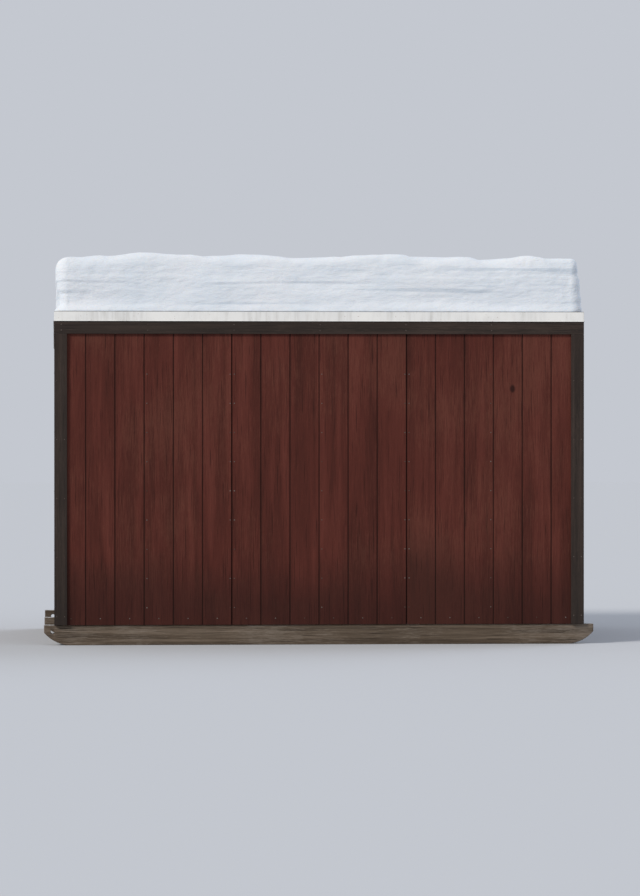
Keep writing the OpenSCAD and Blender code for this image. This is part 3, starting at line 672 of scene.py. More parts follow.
# Trim: boards with eased edges, each lapped or butted as a builder cuts them
trim = {"ease": 0.0022, "fasciaHeight": 0.140, "cornerWidth": 0.089, "joint": 0.0004, "rakeJoint": 0.0005}


def rakeFoot(y):
    # Height of the trim's lower edge under the roof plane, its width measured square to the slope
    return deckTop(y) - (deckThickness + trim["fasciaHeight"]) / roofCos


def cornerBoards(xSide, ySide, seed):
    # The long wall's board covers the edge of the end wall's board, whose head follows the roof
    head, width, ease = rakeFoot(ySide * wallY), trim["cornerWidth"], trim["ease"]
    face = board([xSide * deckX, ySide * deckY, foot], [xSide * (deckX - width), ySide * wallY, head], ease)
    points, faces = board([xSide * wallX, ySide * (wallY - trim["joint"]), foot],
                          [xSide * deckX, ySide * (deckY - width), head], ease)
    points = stretchedTo(points, foot, head, rakeFoot(points[:, 1]))
    return [grained(face, 2, seed), grained((points, faces), 2, seed + 1)]


for seed, (xSide, ySide, place) in enumerate([
        (-1, -1, "front_left"), (1, -1, "front_right"), (-1, 1, "back_left"), (1, 1, "back_right")]):
    makePiece(cornerBoards(xSide, ySide, 20 + 2 * seed), "dark_trim", "corner_trim_" + place)

for side, place in ((-1, "front"), (1, "back")):
    low, high = rakeFoot(side * wallY), deckUnder(side * wallY)
    points, faces = board([-deckX, side * deckY, low], [deckX, side * wallY, high], trim["ease"])
    points = stretchedTo(points, low, high, deckUnder(points[:, 1]))
    makePiece([grained((points, faces), 0, 31 + side)], "dark_trim", "fascia_" + place)

rakeY, low, high = wallY - trim["rakeJoint"], rakeFoot(0), deckUnder(0)
for side, place in ((-1, "left"), (1, "right")):
    points, faces = board([side * deckX, -rakeY, low], [side * wallX, rakeY, high], trim["ease"])
    points = stretchedTo(points, low, high, deckUnder(points[:, 1]), rakeFoot(points[:, 1]))
    makePiece([grained((points, faces), 1, 41 + side)], "dark_trim", "rake_board_" + place)
print("trim boards fixed")

# Drip edges: folded sheet in lengths that lap, with a kick along the foot and a dented face
drip = {"flange": 0.050, "face": 0.060, "metal": 0.0009, "kick": 0.0050, "bend": 0.0018, "ease": 0.0002,
        "length": 3.05, "lap": 0.05, "cornerFlange": 0.004, "dent": 0.0004, "dentSize": (0.22, 1.0, 0.05),
        "dentShift": 7.7, "dentTop": -0.004, "step": 0.04}


def dripRing(flange, rise):
    # [out, up] from the inner edge of the flange over the fold, down the face and out along the kick, with
    # curved bends, moved out and in by half the metal
    half = drip["metal"] / 2
    path = np.array([[-flange, half + flange * rise], [half, half], [half, -drip["face"]],
                     [half + drip["kick"], -drip["face"] - drip["kick"]]])
    ends = []
    for neighbour in (path[:-2], path[2:]):
        side = neighbour - path[1:-1]
        side *= drip["bend"] / np.linalg.norm(side, axis=1, keepdims=True)
        ends.append((path[1:-1] + side)[:, None])
    curve = curved(ends[0], path[1:-1, None], ends[1], 4).reshape(-1, 2)
    line = np.concatenate([path[:1], curve, path[-1:]])
    along = np.gradient(line, axis=0)
    along /= np.linalg.norm(along, axis=1, keepdims=True)
    normal = np.stack([along[:, 1], -along[:, 0]], axis=1) * half
    return np.concatenate([line + normal, (line - normal)[::-1]])


def dripLength(start, end, flange, rise, seed, out=0.0):
    # One length in [along, out, up], its face gently dented
    stations = np.linspace(start, end, int((end - start) / drip["step"]) + 2)
    points, faces = sweep(dripRing(flange, rise) + [out, 0], stations, drip["ease"], 0)
    dent = valueNoise(points + seed * drip["dentShift"], drip["dentSize"], seed)
    points[:, 1] += np.where(points[:, 2] < drip["dentTop"], drip["dent"] * dent, 0)
    return points, faces


def dripPiece(place, lengths, mirrored):
    # The lengths as one piece, with their faces turned round where they were mirrored
    lengths = [(points, [f[:, ::-1] for f in faces] if mirrored else faces) for points, faces in lengths]
    makePiece(lengths, "white_coated_steel", "drip_edge_" + place)


for side, place in ((-1, "front"), (1, "back")):
    split, flange, rise = deckX - drip["length"], drip["flange"], side * roofSlope
    lengths = [dripLength(-deckX, -split, flange, rise, 50 + side),
               dripLength(-split - drip["lap"], deckX, flange, rise, 52 + side, drip["metal"])]
    for points, faces in lengths:
        points[:, 1] = side * (deckY + points[:, 1])
        points[:, 2] += deckTop(side * deckY)
    dripPiece(place, lengths, side < 0)

inner, outer = deckY - drip["flange"], deckY + drip["metal"]
for side, place in ((-1, "left"), (1, "right")):
    lengths = [dripLength(-inner, inner, drip["flange"], 0, 54 + side),
               dripLength(-outer, -inner, drip["cornerFlange"], 0, 56 + side),
               dripLength(inner, outer, drip["cornerFlange"], 0, 58 + side)]
    placed = [(np.stack([side * (deckX + out), along, deckTop(along) + up], axis=1), faces)
              for (along, out, up), faces in ((points.T, faces) for points, faces in lengths)]
    dripPiece(place, placed, side > 0)
print("drip edges folded")

# Snow: the frame's cake on a finer grid, cut back by the wind along its sides and rippled on top
snow = {
    "depth": 0.410, "rim": 0.095, "hump": 0.026, "felt": 0.003, "across": 250, "deep": 166, "rows": 46,
    "cutBack": 0.038, "wave": 0.022, "held": 0.045, "dune": 0.016, "duneLength": 0.46, "lee": 0.24,
    "soft": 0.020, "fine": 0.004, "crumb": 0.006, "bite": 0.042, "biteReach": 0.30, "scar": 0.012,
    "stepBlend": 0.005, "grooveReach": 0.009, "layerMean": 0.5, "layerRange": 1.2, "scarFrom": 0.15,
    "scarRange": 0.45, "heldWave": 0.8, "bend": 1.6, "duneMean": 0.45, "duneRange": 1.3, "biteFull": 0.6,
    "crowding": 0.75, "wind": (0.94, 0.34),
}
# Its noises: cell sizes along X or the wind, along Y or across the wind, and upwards, then the seed, to
# which "line" and "share" add the layer's number, and the octaves where they aren't 3
snowNoise = {
    "line": ((0.9, 0.9, 1.0), 30), "share": ((0.5, 0.5, 1.0), 40),
    "broad": ((0.75, 0.75, 0.30), 3), "crumbs": ((0.06, 0.06, 0.04), 11), "scar": ((0.60, 0.60, 0.20), 53),
    "held": ((0.34, 0.34, 1.0), 47), "bend": ((1.5, 1.1, 1.0), 17), "dune": ((0.9, 1.2, 1.0), 19),
    "soft": ((0.7, 1.0, 1.0), 23), "fine": ((0.085, 0.26, 1.0), 29, 2), "bite": ((0.38, 0.38, 1.0), 37),
}
# Layers that the wind has cut: height above the roof, how far the face steps back there, depth of the groove
windLayers = [(0.060, -0.004, 0.002), (0.128, 0.008, 0.001), (0.196, -0.007, 0.004), (0.262, 0.007, 0.001),
              (0.318, 0.004, 0.003)]
# Humps: place across X and Y as shares of the half sizes, width, and share of the tallest
humps = [
    (-0.70, -0.80, 0.56, 1.0), (-0.28, -0.86, 0.42, 0.8), (0.30, -0.75, 0.76, 0.5), (0.78, -0.30, 0.62, 0.9),
    (-0.50, 0.25, 0.90, 0.6), (0.20, 0.55, 0.70, 0.8), (-0.85, 0.70, 0.48, 0.7), (0.72, 0.80, 0.56, 0.5),
]


def crowded(count):
    # Places from -1 to 1 that crowd towards both ends: 2 (t - c sin(2 pi t) / 2 pi) - 1
    t = np.linspace(0, 1, count + 1)
    return 2 * (t - snow["crowding"] * np.sin(2 * math.pi * t) / (2 * math.pi)) - 1


def snowFoot(y):
    # Height of the felt's upper face, on which the snow lies
    return deckTop(y) + snow["felt"] / roofCos


def snowTop(x, y, inset):
    # Roof plane plus the depth and the humps e^(-4 (distance / width)^2), less a quarter round along the rim
    height = snowFoot(y) + snow["depth"]
    for shareX, shareY, width, share in humps:
        reach = np.hypot(x - shareX * deckX, y - shareY * deckY) / width
        height = height + snow["hump"] * share * np.exp(-4 * reach ** 2)
    over = np.clip(snow["rim"] - inset, 0, None)
    return height - (snow["rim"] - np.sqrt(snow["rim"] ** 2 - over ** 2))


def windCut(points, up):
    # Each layer's line waves, and there the face steps back by s / (1 + e^(-d / blend)) and dips by
    # g e^(-(d / reach)^2), both as much as a slow noise along the wall gives
    depth = np.zeros(len(points))
    level = points * [1, 1, 0]
    (lineSize, lineSeed), (shareSize, shareSeed) = snowNoise["line"], snowNoise["share"]
    for k, (height, step, groove) in enumerate(windLayers):
        above = up - height - snow["wave"] * fractalNoise(level, lineSize, lineSeed + k)
        share = snow["layerMean"] + snow["layerRange"] * valueNoise(level, shareSize, shareSeed + k)
        share = np.clip(share, 0, 1)
        depth += step * share / (1 + np.exp(-above / snow["stepBlend"]))
        depth += groove * share * np.exp(-(above / snow["grooveReach"]) ** 2)
    return depth


def weathered(points):
    # The sides go in along the outline's normal by broad hollows, wind-cut layers, crumbs and scars, which
    # set in by 3t^2 - 2t^3, and less near the uneven foot: 1 - e^(-(up / held)^2). The top goes down between
    # dunes, which rise by 3t^2 - 2t^3 along the wind and fall the same way over their short lee side, by
    # soft hollows and fine ripples, and by bites along the rim
    x, y, z = points.T
    level = points * [1, 1, 0]
    rim = snow["rim"]
    dx = np.clip(np.abs(x) - deckX + rim, 0, None)
    dy = np.clip(np.abs(y) - deckY + rim, 0, None)
    reach = np.hypot(dx, dy)
    normal = np.stack([dx * np.sign(x), dy * np.sign(y)], axis=1) / np.maximum(reach, 1e-9)[:, None]
    share = np.clip(reach / rim, 0, 1) ** 2
    up = z - snowFoot(y)
    broad = (fractalNoise(points, *snowNoise["broad"]) + 1) / 2
    crumbs = np.clip(fractalNoise(points, *snowNoise["crumbs"]), 0, 1)
    side = snow["cutBack"] * broad + windCut(points, up) + snow["crumb"] * crumbs
    scar = (valueNoise(points, *snowNoise["scar"]) - snow["scarFrom"]) / snow["scarRange"]
    scar = np.clip(scar, 0, 1)
    side += snow["scar"] * scar * scar * (3 - 2 * scar)
    held = snow["held"] * (1 + snow["heldWave"] * fractalNoise(level, *snowNoise["held"]))
    side *= 1 - np.exp(-(up / held) ** 2)
    moved = points.copy()
    moved[:, :2] -= (np.maximum(side, 0) * share)[:, None] * normal
    along, across = snow["wind"]
    wind = np.stack([along * x + across * y, -across * x + along * y, 0 * z], axis=1)
    t = wind[:, 0] / snow["duneLength"] + snow["bend"] * fractalNoise(wind, *snowNoise["bend"])
    t -= np.floor(t)
    t = np.minimum(t / (1 - snow["lee"]), (1 - t) / snow["lee"])
    dune = snow["duneMean"] + snow["duneRange"] * valueNoise(wind, *snowNoise["dune"])
    dune = (1 - t * t * (3 - 2 * t)) * np.clip(dune, 0, 1)
    soft = (fractalNoise(wind, *snowNoise["soft"]) + 1) / 2
    fine = np.abs(fractalNoise(wind, *snowNoise["fine"]))
    full = snow["biteFull"]
    bite = np.clip(fractalNoise(level, *snowNoise["bite"]), 0, full) / full
    inside = np.minimum(deckX - np.abs(x), deckY - np.abs(y))
    nearRim = np.clip(1 - inside / snow["biteReach"], 0, 1) ** 2
    lower = snow["dune"] * dune + snow["soft"] * soft + snow["fine"] * fine + snow["bite"] * bite * nearRim
    moved[:, 2] -= lower * np.clip(up / snow["depth"] * 2 - 1, 0, 1)
    return moved


def snowCake():
    # A crowded grid whose square corners are pulled in to round ones, with walls down to a flat foot
    nx, ny, rows, rim = snow["across"], snow["deep"], snow["rows"], snow["rim"]
    flatX, flatY = np.meshgrid(crowded(nx) * deckX, crowded(ny) * deckY)
    a = np.abs(flatX) - deckX + rim
    b = np.abs(flatY) - deckY + rim
    corner = (a > 0) & (b > 0)
    pull = np.where(corner, np.maximum(a, b) / np.maximum(np.hypot(a, b), 1e-9), 1)
    x = np.where(corner, np.sign(flatX) * (deckX - rim + a * pull), flatX)
    y = np.where(corner, np.sign(flatY) * (deckY - rim + b * pull), flatY)
    inset = np.minimum(deckX - np.abs(flatX), deckY - np.abs(flatY))
    top = np.stack([x, y, snowTop(x, y, inset)], axis=-1).reshape(-1, 3)
    i, j = np.arange(nx), np.arange(ny)
    edge = np.concatenate([i, j * (nx + 1) + nx, ny * (nx + 1) + nx - i, (ny - j) * (nx + 1)])
    drop = np.linspace(0, 1, rows + 1)[1:, None, None]
    upper = top[edge]
    lower = np.stack([upper[:, 0], upper[:, 1], snowFoot(upper[:, 1])], axis=1)
    walls = ((1 - drop) * upper + drop * lower).reshape(-1, 3)
    topFaces = (j[:, None] * (nx + 1) + i).reshape(-1, 1) + np.array([0, 1, nx + 2, nx + 1])
    ring = np.concatenate([edge[None], len(top) + np.arange(rows * len(edge)).reshape(rows, -1)])
    beside = np.roll(ring, -1, axis=1)
    wallFaces = np.stack([ring[:-1], ring[1:], beside[1:], beside[:-1]], axis=-1).reshape(-1, 4)
    return weathered(np.concatenate([top, walls])), [topFaces, wallFaces, ring[-1][::-1][None]]


roofSnow = makePiece([snowCake()], "settled_snow", "roof_snow")
print("snow settled:", len(roofSnow.data.vertices), "vertices")

# Runners: timbers whose soles turn up at both ends along an arc, worn round by the ice, bored for a tow pin
runner = {"arc": 0.250, "nose": 0.190, "ease": 0.006, "wear": 0.0012, "wearSize": (0.25, 0.04, 0.04),
          "bore": 0.015, "boreInset": 0.060, "boreDrop": 0.045, "chamfer": 0.0025, "through": 0.002,
          "noseSteps": 16, "soleSteps": 60, "boreSides": 32}


def runnerTimber(low, high, bored, seed):
    # The sole leaves the ice as z = R - sqrt(R^2 - d^2), where d is the distance past the flat sole
    arc, nose, bore, chamfer = runner["arc"], runner["nose"], runner["bore"], runner["chamfer"]
    soleHalf = high.x - nose
    rising = soleHalf + arc * np.sin(np.linspace(0, math.asin(nose / arc), runner["noseSteps"]))
    flat = np.linspace(-soleHalf, soleHalf, runner["soleSteps"])[1:-1]
    stations = np.concatenate([-rising[::-1], flat, rising])
    ring = easedRing(rectangle(low.y, high.y, low.z, high.z), runner["ease"])
    points, faces = sweep(ring, stations, runner["ease"], 0)
    past = np.clip(np.abs(points[:, 0]) - soleHalf, 0, nose)
    sole = arc - np.sqrt(arc ** 2 - past ** 2)
    points[:, 2] = sole + points[:, 2] * (high.z - sole) / high.z
    dents = np.clip(fractalNoise(points, runner["wearSize"], seed), 0, 1)
    points[:, 1] -= np.sign(points[:, 1] - (low.y + high.y) / 2) * runner["wear"] * dents
    if not bored:
        return points, faces
    wide, out = bore + chamfer + runner["through"], runner["through"]
    profile = [[wide, low.y - out], [bore, low.y + chamfer], [bore, high.y - chamfer], [wide, high.y + out]]
    centre = (-high.x + runner["boreInset"], 0, high.z - runner["boreDrop"])
    return cutAway((points, faces), lathe(profile, centre, 1, runner["boreSides"]))


for seed, place in enumerate(("front", "middle", "back"), 61):
    node, bored = "runner_" + place, place != "middle"
    makePiece([grained(runnerTimber(*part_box(node), bored, seed), 0, seed)], "runner_timber", node)
print("runners shaped")

# Door: a grooved leaf with ledges and stiles, casing boards, strap hinges, a pull and a slide bolt
door = {
    "ledge": 0.089, "casing": 0.070, "joint": 0.0004, "pullHeight": 0.900, "plate": 0.004,
    "plateEase": 0.0009, "plateCorner": 0.003, "rooted": 0.001, "strap": 0.240, "root": 0.044, "tip": 0.022,
    "knuckle": 0.014, "knuckleEase": 0.0007, "hingePlate": 0.045, "hingeHeight": 0.080, "strapBolts": 0.035,
    "hingeScrews": 0.027, "screwPitch": 0.026, "grip": 0.150, "bar": 0.012, "barEase": 0.003, "post": 0.009,
    "foot": 0.034, "footScrews": 0.011, "hand": 0.032, "bolt": 0.012, "boltEase": 0.0015,
    "boltClearance": 0.0005, "boltRise": 0.190, "saddle": 0.0095, "saddleEase": 0.0008,
    "plateScrews": 0.006, "plateScrewRise": 0.0145, "neck": 0.006, "knob": 0.014, "knobReach": 0.020,
    "knobFlat": 0.12,
}
# Roots of the pull's posts and the knob's neck: radius, or how much wider, and height over the plate or bolt
postFlare = [(0.0085, -0.001), (0.0085, 0.001), (0.0060, 0.003), (0.0045, 0.007)]
neckFlare = [(0.0012, -0.0005), (0.0004, 0.0008), (0, 0.0025)]
# Radius, height and sides of the heads on its hardware
hardwareHeads = {"bolt": (0.0075, 0.0035, 14), "hingeScrew": (0.0045, 0.0015, 12),
                 "screw": (0.003, 0.0012, 10)}
leafLow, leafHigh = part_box("door_leaf")
casingLow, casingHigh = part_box("door_casing")
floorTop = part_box("floor_sheet_middle")[1].z
doorFace = casingHigh.x
leafHalf = leafHigh.y
stile = leafHalf - door["ledge"]
casingInner = casingHigh.y - door["casing"]
casingFoot = casingHigh.z - door["casing"]
knuckleY = (leafHalf + casingInner) / 2
plateTop = doorFace + door["plate"]
boltX = plateTop + door["boltClearance"] + door["bolt"] / 2
pullZ = floorTop + door["pullHeight"]
rails = [leafLow.z, pullZ - door["ledge"] / 2, leafHigh.z - door["ledge"]]


def leafBoards():
    # One slab from above, with grooves in its face, stood up
    corners = [[-leafHalf, -wallX]]
    for centre in (-1.5, -0.5, 0.5, 1.5):
        corners += grooveOutline(centre * siding["groovePitch"] + siding["grooveWidth"] / 2, -wallX)
    corners += [[leafHalf, -wallX], [leafHalf, -leafLow.x], [-leafHalf, -leafLow.x]]
    stations = np.arange(leafLow.z, leafHigh.z + siding["step"], siding["step"]).clip(max=leafHigh.z)
    points, faces = sweep(easedRing(corners, siding["ease"], 2), stations, siding["ease"], 2)
    points = turned(points, 1)
    return grained((points, faces), 2, 71, recessAt(points, frameX, 1))


def faceBoard(a, b, zLow, zHigh, seed):
    # A board on the face of the door wall, with its grain along its longer side
    yLow, yHigh = sorted([a, b])
    along, gap = 2 if zHigh - zLow > yHigh - yLow else 1, door["joint"] / 2
    return grained(board([wallX, yLow + gap, zLow + gap], [doorFace, yHigh - gap, zHigh - gap],
                         trim["ease"], along), along, seed)


makePiece([leafBoards()], "stained_siding", "door_leaf")
ledges = [faceBoard(side * stile, side * leafHalf, leafLow.z, leafHigh.z, 73 + side) for side in (-1, 1)]
ledges += [faceBoard(-stile, stile, z, z + door["ledge"], 76 + k) for k, z in enumerate(rails)]
makePiece(ledges, "dark_trim", "door_ledges")
casing = [faceBoard(side * casingInner, side * casingHigh.y, casingLow.z, casingFoot, 81 + k)
          for k, side in enumerate((-1, 1))]
casing.append(faceBoard(-casingHigh.y, casingHigh.y, casingFoot, casingHigh.z, 83))
makePiece(casing, "dark_trim", "door_casing")


def plate(ring):
    # A flat plate of the given [y, z] outline, laid on the door's face
    return sweep(ring, [doorFace, plateTop], door["plateEase"], 0)


def squarePlate(*edges):
    # A plate with four slightly rounded corners
    return plate(easedRing(rectangle(*edges), door["plateCorner"]))


def headsOn(kind, places):
    # Heads of one kind on the plates at the given [y, z]
    return heads([[plateTop, y, z] for y, z in places], (1, 0, 0), *hardwareHeads[kind])


def strapHinge(z):
    # A strap that tapers to a round tip, a plate on the casing, a knuckle in three lengths, and its bolts
    half, tip = door["hingeHeight"] / 2, door["tip"] / 2
    tipY = knuckleY - door["strap"] + tip
    turn = np.linspace(math.pi / 2, 3 * math.pi / 2, 13)
    rounded = np.stack([tipY + tip * np.cos(turn), z + tip * np.sin(turn)], axis=1)
    root = [[knuckleY, z - door["root"] / 2], [knuckleY, z + door["root"] / 2]]
    centre = (doorFace + (door["plate"] + door["knuckle"]) / 2, knuckleY, z)
    ends = np.linspace(-half, half, 4)
    knuckles = [lathe(rodProfile(door["knuckle"] / 2, a, b, door["knuckleEase"]), centre, 2, 24)
                for a, b in zip(ends, ends[1:])]
    pitch, screwY = door["screwPitch"], knuckleY + door["hingeScrews"]
    return [plate(np.concatenate([root, rounded])),
            squarePlate(knuckleY, knuckleY + door["hingePlate"], z - half, z + half), *knuckles,
            headsOn("bolt", [(y, z) for y in np.linspace(tipY, knuckleY - door["strapBolts"], 3)]),
            headsOn("hingeScrew", [(screwY, z + rise) for rise in (-pitch, 0, pitch)])]


def pullParts():
    # A round bar on two posts with flared roots, each on a square foot held by four screws
    y, half = -leafHalf + door["ledge"] / 2, door["foot"] / 2
    barX = plateTop + door["hand"] + door["bar"] / 2
    end = door["grip"] / 2 + door["bar"]
    parts = [lathe(rodProfile(door["bar"] / 2, -end, end, door["barEase"]), (barX, y, pullZ), 2, 24)]
    post = [[radius, plateTop + up] for radius, up in postFlare] + [[door["post"] / 2, barX]]
    reach = (-door["footScrews"], door["footScrews"])
    for z in (pullZ - door["grip"] / 2, pullZ + door["grip"] / 2):
        parts += [squarePlate(y - half, y + half, z - half, z + half), lathe(post, (0, y, z), 0),
                  headsOn("screw", [(y + a, z + b) for a in reach for b in reach])]
    return parts


def saddle(yLow, yHigh, z):
    # A strap bent over the bolt: an outer and an inner half round on straight legs, carried across
    outer, inner = door["saddle"], door["bolt"] / 2 + door["boltClearance"]
    turn = np.linspace(0, math.pi, 15)
    arch = np.stack([np.cos(turn), np.sin(turn)], axis=1)
    base = plateTop - door["rooted"]
    ring = np.concatenate([[[z + outer, base]], arch * outer + [z, boltX], [[z - outer, base]],
                           [[z - inner, base]], arch[::-1] * inner + [z, boltX], [[z + inner, base]]])
    return sweep(ring, [yLow, yHigh], door["saddleEase"], 1)


def boltKnob(y, z):
    # A neck that flares where it leaves the bolt, and a ball of points [r sin a, reach - r cos a] on its end
    neck, ball = door["neck"] / 2, door["knob"] / 2
    angle = np.linspace(math.asin(neck / ball), math.pi - door["knobFlat"], 12)
    root = boltX + door["bolt"] / 2
    stem = [[neck + neckFlare[0][0], boltX]] + [[neck + wider, root + up] for wider, up in neckFlare]
    head = np.stack([ball * np.sin(angle), boltX + door["knobReach"] - ball * np.cos(angle)], axis=1)
    return lathe(np.concatenate([stem, head]), (0, y, z), 0)


def boltParts():
    # A plate with two saddles on the stile, the bolt and its knob, and a keeper on the casing
    z, bolt, keeper = pullZ + door["boltRise"], door["bolt"], door["hingePlate"] / 2
    wide, half = door["ledge"] - 2 * bolt, bolt + 2 * door["plate"]
    start, keeperLow, keeperHigh = -leafHalf + bolt / 2, -casingInner - keeper, -casingInner
    rod = rodProfile(bolt / 2, -knuckleY - keeper, -knuckleY + wide, door["boltEase"])
    inset, rise = door["plateScrews"], door["plateScrewRise"]
    columns = (start + inset, start + wide - inset, keeperLow + keeper / 2)
    return [squarePlate(start, start + wide, z - half, z + half),
            squarePlate(keeperLow, keeperHigh, z - half, z + half),
            lathe(rod, (boltX, 0, z), 1),
            saddle(start, start + bolt, z),
            saddle(-leafHalf + wide - bolt, -leafHalf + wide, z),
            saddle(keeperLow, keeperHigh, z),
            boltKnob(start + bolt + door["boltClearance"] + door["neck"] / 2, z),
            headsOn("screw", [(y, z + dz) for y in columns for dz in (-rise, rise)])]


hinges = strapHinge(leafLow.z + door["ledge"] / 2) + strapHinge(leafHigh.z - door["ledge"] / 2)
makePiece(hinges, "black_hardware", "door_hinges")
makePiece(pullParts(), "black_hardware", "door_pull")
makePiece(boltParts(), "black_hardware", "door_bolt")
print("door hung")

# Nails: flat heads in rows where the studs, the rim and the boards need them
nail = {
    "radius": 0.0042, "height": 0.0013, "trimShare": 0.8, "sides": 8, "pitch": 0.203, "trimPitch": 0.41,
    "wallFoot": 0.12, "rim": 0.045, "sill": 0.03, "edge": 0.018, "trimFoot": 0.06, "trimHead": 0.03,
    "stagger": 0.05, "lapped": 0.019, "low": 0.025, "high": 0.075, "fasciaEnd": 0.03, "rakeEnd": 0.05,
    "doorEdge": 0.020, "doorEnd": 0.14, "casingEnd": 0.03, "fasciaCount": 7, "rakeCount": 5, "doorCount": 5,
    "casingCount": 4, "longColumns": (-0.626, -0.597, 0.594, 0.623, 0.013, -1.205, 1.196),
    "leftColumns": (-0.016, 0.013, -0.55, 0.575), "rightColumns": (-0.762, 0.785),
}


def nailGrid(across, up):
    # Every place across at every height
    a, b = np.meshgrid(across, up)
    return np.stack([a.ravel(), b.ravel()], axis=1)


def stripMiddles(span):
    # The middle of each strip between two grooves or joints, clear of the grooves themselves
    middles = []
    for i, (left, right) in enumerate(sheetSpans(span)):
        ends = [left, *grooveEdges(left, right, i == 0), right]
        middles += [(a + b - siding["grooveWidth"]) / 2 for a, b in zip(ends, ends[1:])]
    return middles


def wallNails(span, out, quarters, columns, skip=None):
    # Columns over the studs and a row along the rim, set on the grooved face, with none over the doorway
    up = np.arange(foot + nail["wallFoot"], rakeFoot(wallY), nail["pitch"])
    flat = np.concatenate([nailGrid(columns, up), nailGrid(stripMiddles(span), [foot + nail["rim"]])])
    if skip is not None:
        flat = flat[~((np.abs(flat[:, 0]) < skip) & (flat[:, 1] > floorTop - nail["sill"]))]
    direction = turned(np.array([[0.0, -1.0, 0.0]]), quarters)[0]
    points = turned(np.insert(flat, 1, -out, axis=1), quarters)
    return heads(points, direction, nail["radius"], nail["height"], nail["sides"])


def faceNails(flat, axis, out):
    # Smaller heads at places on a face square to the axis and that far out
    places = np.insert(flat, axis, out, axis=1)
    return heads(places, np.eye(3)[axis] * np.sign(out), nail["radius"] * nail["trimShare"], nail["height"],
                 nail["sides"])


nails = [wallNails(2 * wallX, wallY, 0, nail["longColumns"]),
         wallNails(2 * wallX, wallY, 2, nail["longColumns"]),
         wallNails(2 * frameY, wallX, 3, nail["leftColumns"]),
         wallNails(2 * frameY, wallX, 1, nail["rightColumns"], casingHigh.y)]
makePiece(nails, "stained_siding", name="sidingNails", material=nailSteel)

edge, far = nail["edge"], trim["cornerWidth"] - nail["edge"]
fasciaEnd, rakeEnd = wallX - nail["fasciaEnd"], wallY - nail["rakeEnd"]
casingEnd = casingHigh.y - nail["casingEnd"]
onTrim = np.array([nail["low"], trim["fasciaHeight"] - nail["high"]])
boardNails = []
for ySide in (-1, 1):
    head = rakeFoot(ySide * wallY)
    up = np.arange(foot + nail["trimFoot"], head - nail["trimHead"], nail["trimPitch"])
    for xSide in (-1, 1):
        across = xSide * (deckX - np.array([edge, far]))
        boardNails.append(faceNails(nailGrid(across, up), 1, ySide * deckY))
        across = ySide * (deckY - np.array([nail["lapped"] + edge, far]))
        boardNails.append(faceNails(nailGrid(across, up + nail["stagger"]), 0, xSide * deckX))
    flat = nailGrid(np.linspace(-fasciaEnd, fasciaEnd, nail["fasciaCount"]), head + onTrim)
    boardNails.append(faceNails(flat, 1, ySide * deckY))
for xSide in (-1, 1):
    flat = nailGrid(np.linspace(-rakeEnd, rakeEnd, nail["rakeCount"]), onTrim)
    flat[:, 1] += rakeFoot(flat[:, 0])
    boardNails.append(faceNails(flat, 0, xSide * deckX))
inset = nail["doorEdge"]
columns = [stile + inset, leafHalf - inset, casingInner + door["casing"] / 2]
up = np.linspace(leafLow.z + nail["doorEnd"], leafHigh.z - nail["doorEnd"], nail["doorCount"])
lintel = np.linspace(-casingEnd, casingEnd, nail["casingCount"])
boardNails.append(faceNails(np.concatenate([
    nailGrid([side * y for side in (-1, 1) for y in columns], up),
    nailGrid([side * siding["groovePitch"] for side in (-1, 0, 1)],
             [z + rise for z in rails for rise in (inset, door["ledge"] - inset)]),
    nailGrid(lintel, [casingHigh.z - door["casing"] / 2])]), 0, doorFace))
makePiece(boardNails, "dark_trim", name="trimNails", material=nailSteel)
print("nails driven")

# Framing and flat sheets keep the frame's own shapes and only get the material that their name's word gives
dressed = {
    "rim_joist": framingAlong[0], "wall_plates": framingAlong[0], "floor_joists": framingAlong[1],
    "end_plates": framingAlong[1], "rafters": framingAlong[1], "studs": framingAlong[2],
    "floor_sheet": floorPlywood, "roof_deck": floorPlywood, "roof_felt": roofFelt, "door_frame": trimUpright,
}
for word, material in dressed.items():
    for name in [name for name in nodes if word in name]:
        nodes[name].data.materials.clear()
        nodes[name].data.materials.append(material)
print("frame's own pieces dressed")

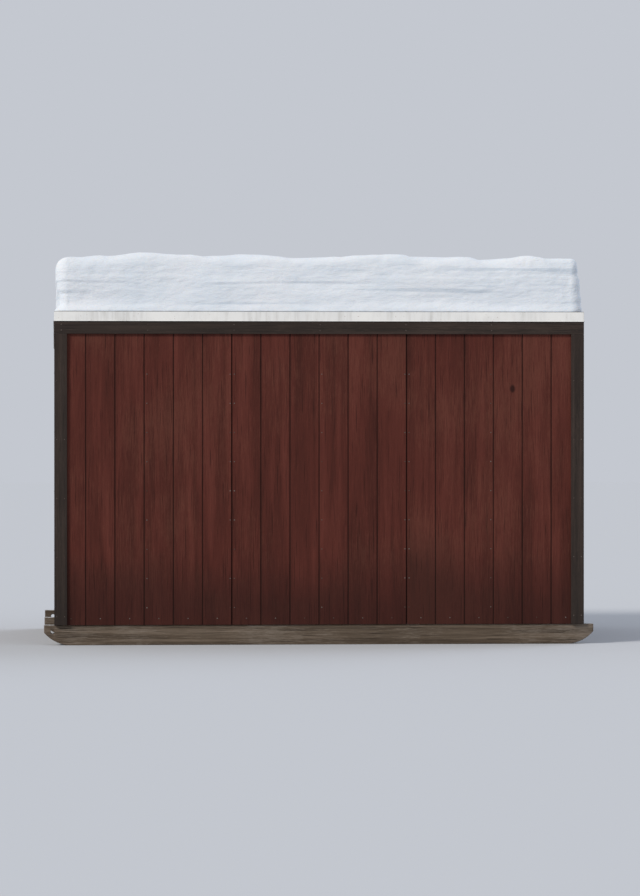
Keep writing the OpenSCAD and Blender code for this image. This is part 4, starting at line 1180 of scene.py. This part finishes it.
# Stage: pale floor, pale surroundings that only the camera, glass and metal see, and soft lamps
stage = {
    "floor": "#c5c9ce", "backdrop": "#c4c8d0", "floorSize": 160.0, "skyLight": 0.53, "skyColour": "#f4f7ff",
    "key": 2.21, "keyAngle": 14.0, "keyFrom": (-0.70, -0.56, 0.58), "keyColour": "#fff8ef",
    "fill": 0.86, "fillAngle": 40.0, "fillFrom": (0.75, 0.55, 0.60), "fillColour": "#e6eeff",
}
half = stage["floorSize"] / 2
corners = [(*corner, 0) for corner in rectangle(-half, half, -half, half)]
floorMesh = newMesh("studioFloor", corners, [np.array([[0, 1, 2, 3]])])
floorMesh.materials.append(shaded(newMaterial("paintedStudioFloor")[0], {
    "Base Color": hexColour(stage["floor"]), "Roughness": 0.9, "Specular IOR Level": 0.0}))
studioFloor = newObject("studioFloor", floorMesh)

world = bpy.data.worlds.new("studio")
bpy.context.scene.world = world
world.use_nodes = True
sky = world.node_tree
sky.nodes.clear()
ray = addNode(sky, "LightPath").node.outputs
seen = ray["Is Camera Ray"]
for kind in ("Glossy", "Transmission"):
    seen = addNode(sky, "Math", [seen, ray["Is " + kind + " Ray"]], operation="MAXIMUM")
light = addNode(sky, "Background", {"Color": hexColour(stage["skyColour"]), "Strength": stage["skyLight"]})
shown = addNode(sky, "Background", {"Color": hexColour(stage["backdrop"]), "Strength": 1.0})
mixed = addNode(sky, "MixShader", [seen, light, shown])
addNode(sky, "OutputWorld", {"Surface": mixed})
for name in ("key", "fill"):
    # A broad sun that shines from its own direction to the origin
    lamp = bpy.data.lights.new(name + "Lamp", "SUN")
    lamp.energy = stage[name]
    lamp.angle = math.radians(stage[name + "Angle"])
    lamp.color = hexColour(stage[name + "Colour"])[:3]
    holder = newObject(name + "Lamp", lamp)
    holder.rotation_euler = Vector(stage[name + "From"]).to_track_quat("Z", "Y").to_euler()

# Camera: eye height and distance worked out from the photograph, square on to the long wall, with a lens
# that fills the frame's width with the hut
view = {"eye": 1.53, "distance": 28.7, "frameWidth": 4.45, "sensor": 36.0, "aimHeight": 1.37,
        "farthest": 500}
camera = bpy.data.cameras.new("camera")
camera.sensor_fit = "HORIZONTAL"
camera.sensor_width = view["sensor"]
camera.lens = view["sensor"] * view["distance"] / view["frameWidth"]
camera.clip_end = view["farthest"]
cameraHolder = newObject("camera", camera)
cameraHolder.location = (-wallX, -wallY - view["distance"], view["eye"])
aim = Vector((0, -wallY, view["aimHeight"]))
cameraHolder.rotation_euler = (aim - cameraHolder.location).to_track_quat("-Z", "Y").to_euler()
bpy.context.scene.camera = cameraHolder
bpy.context.scene.view_settings.view_transform = "Standard"

print("stage lit")
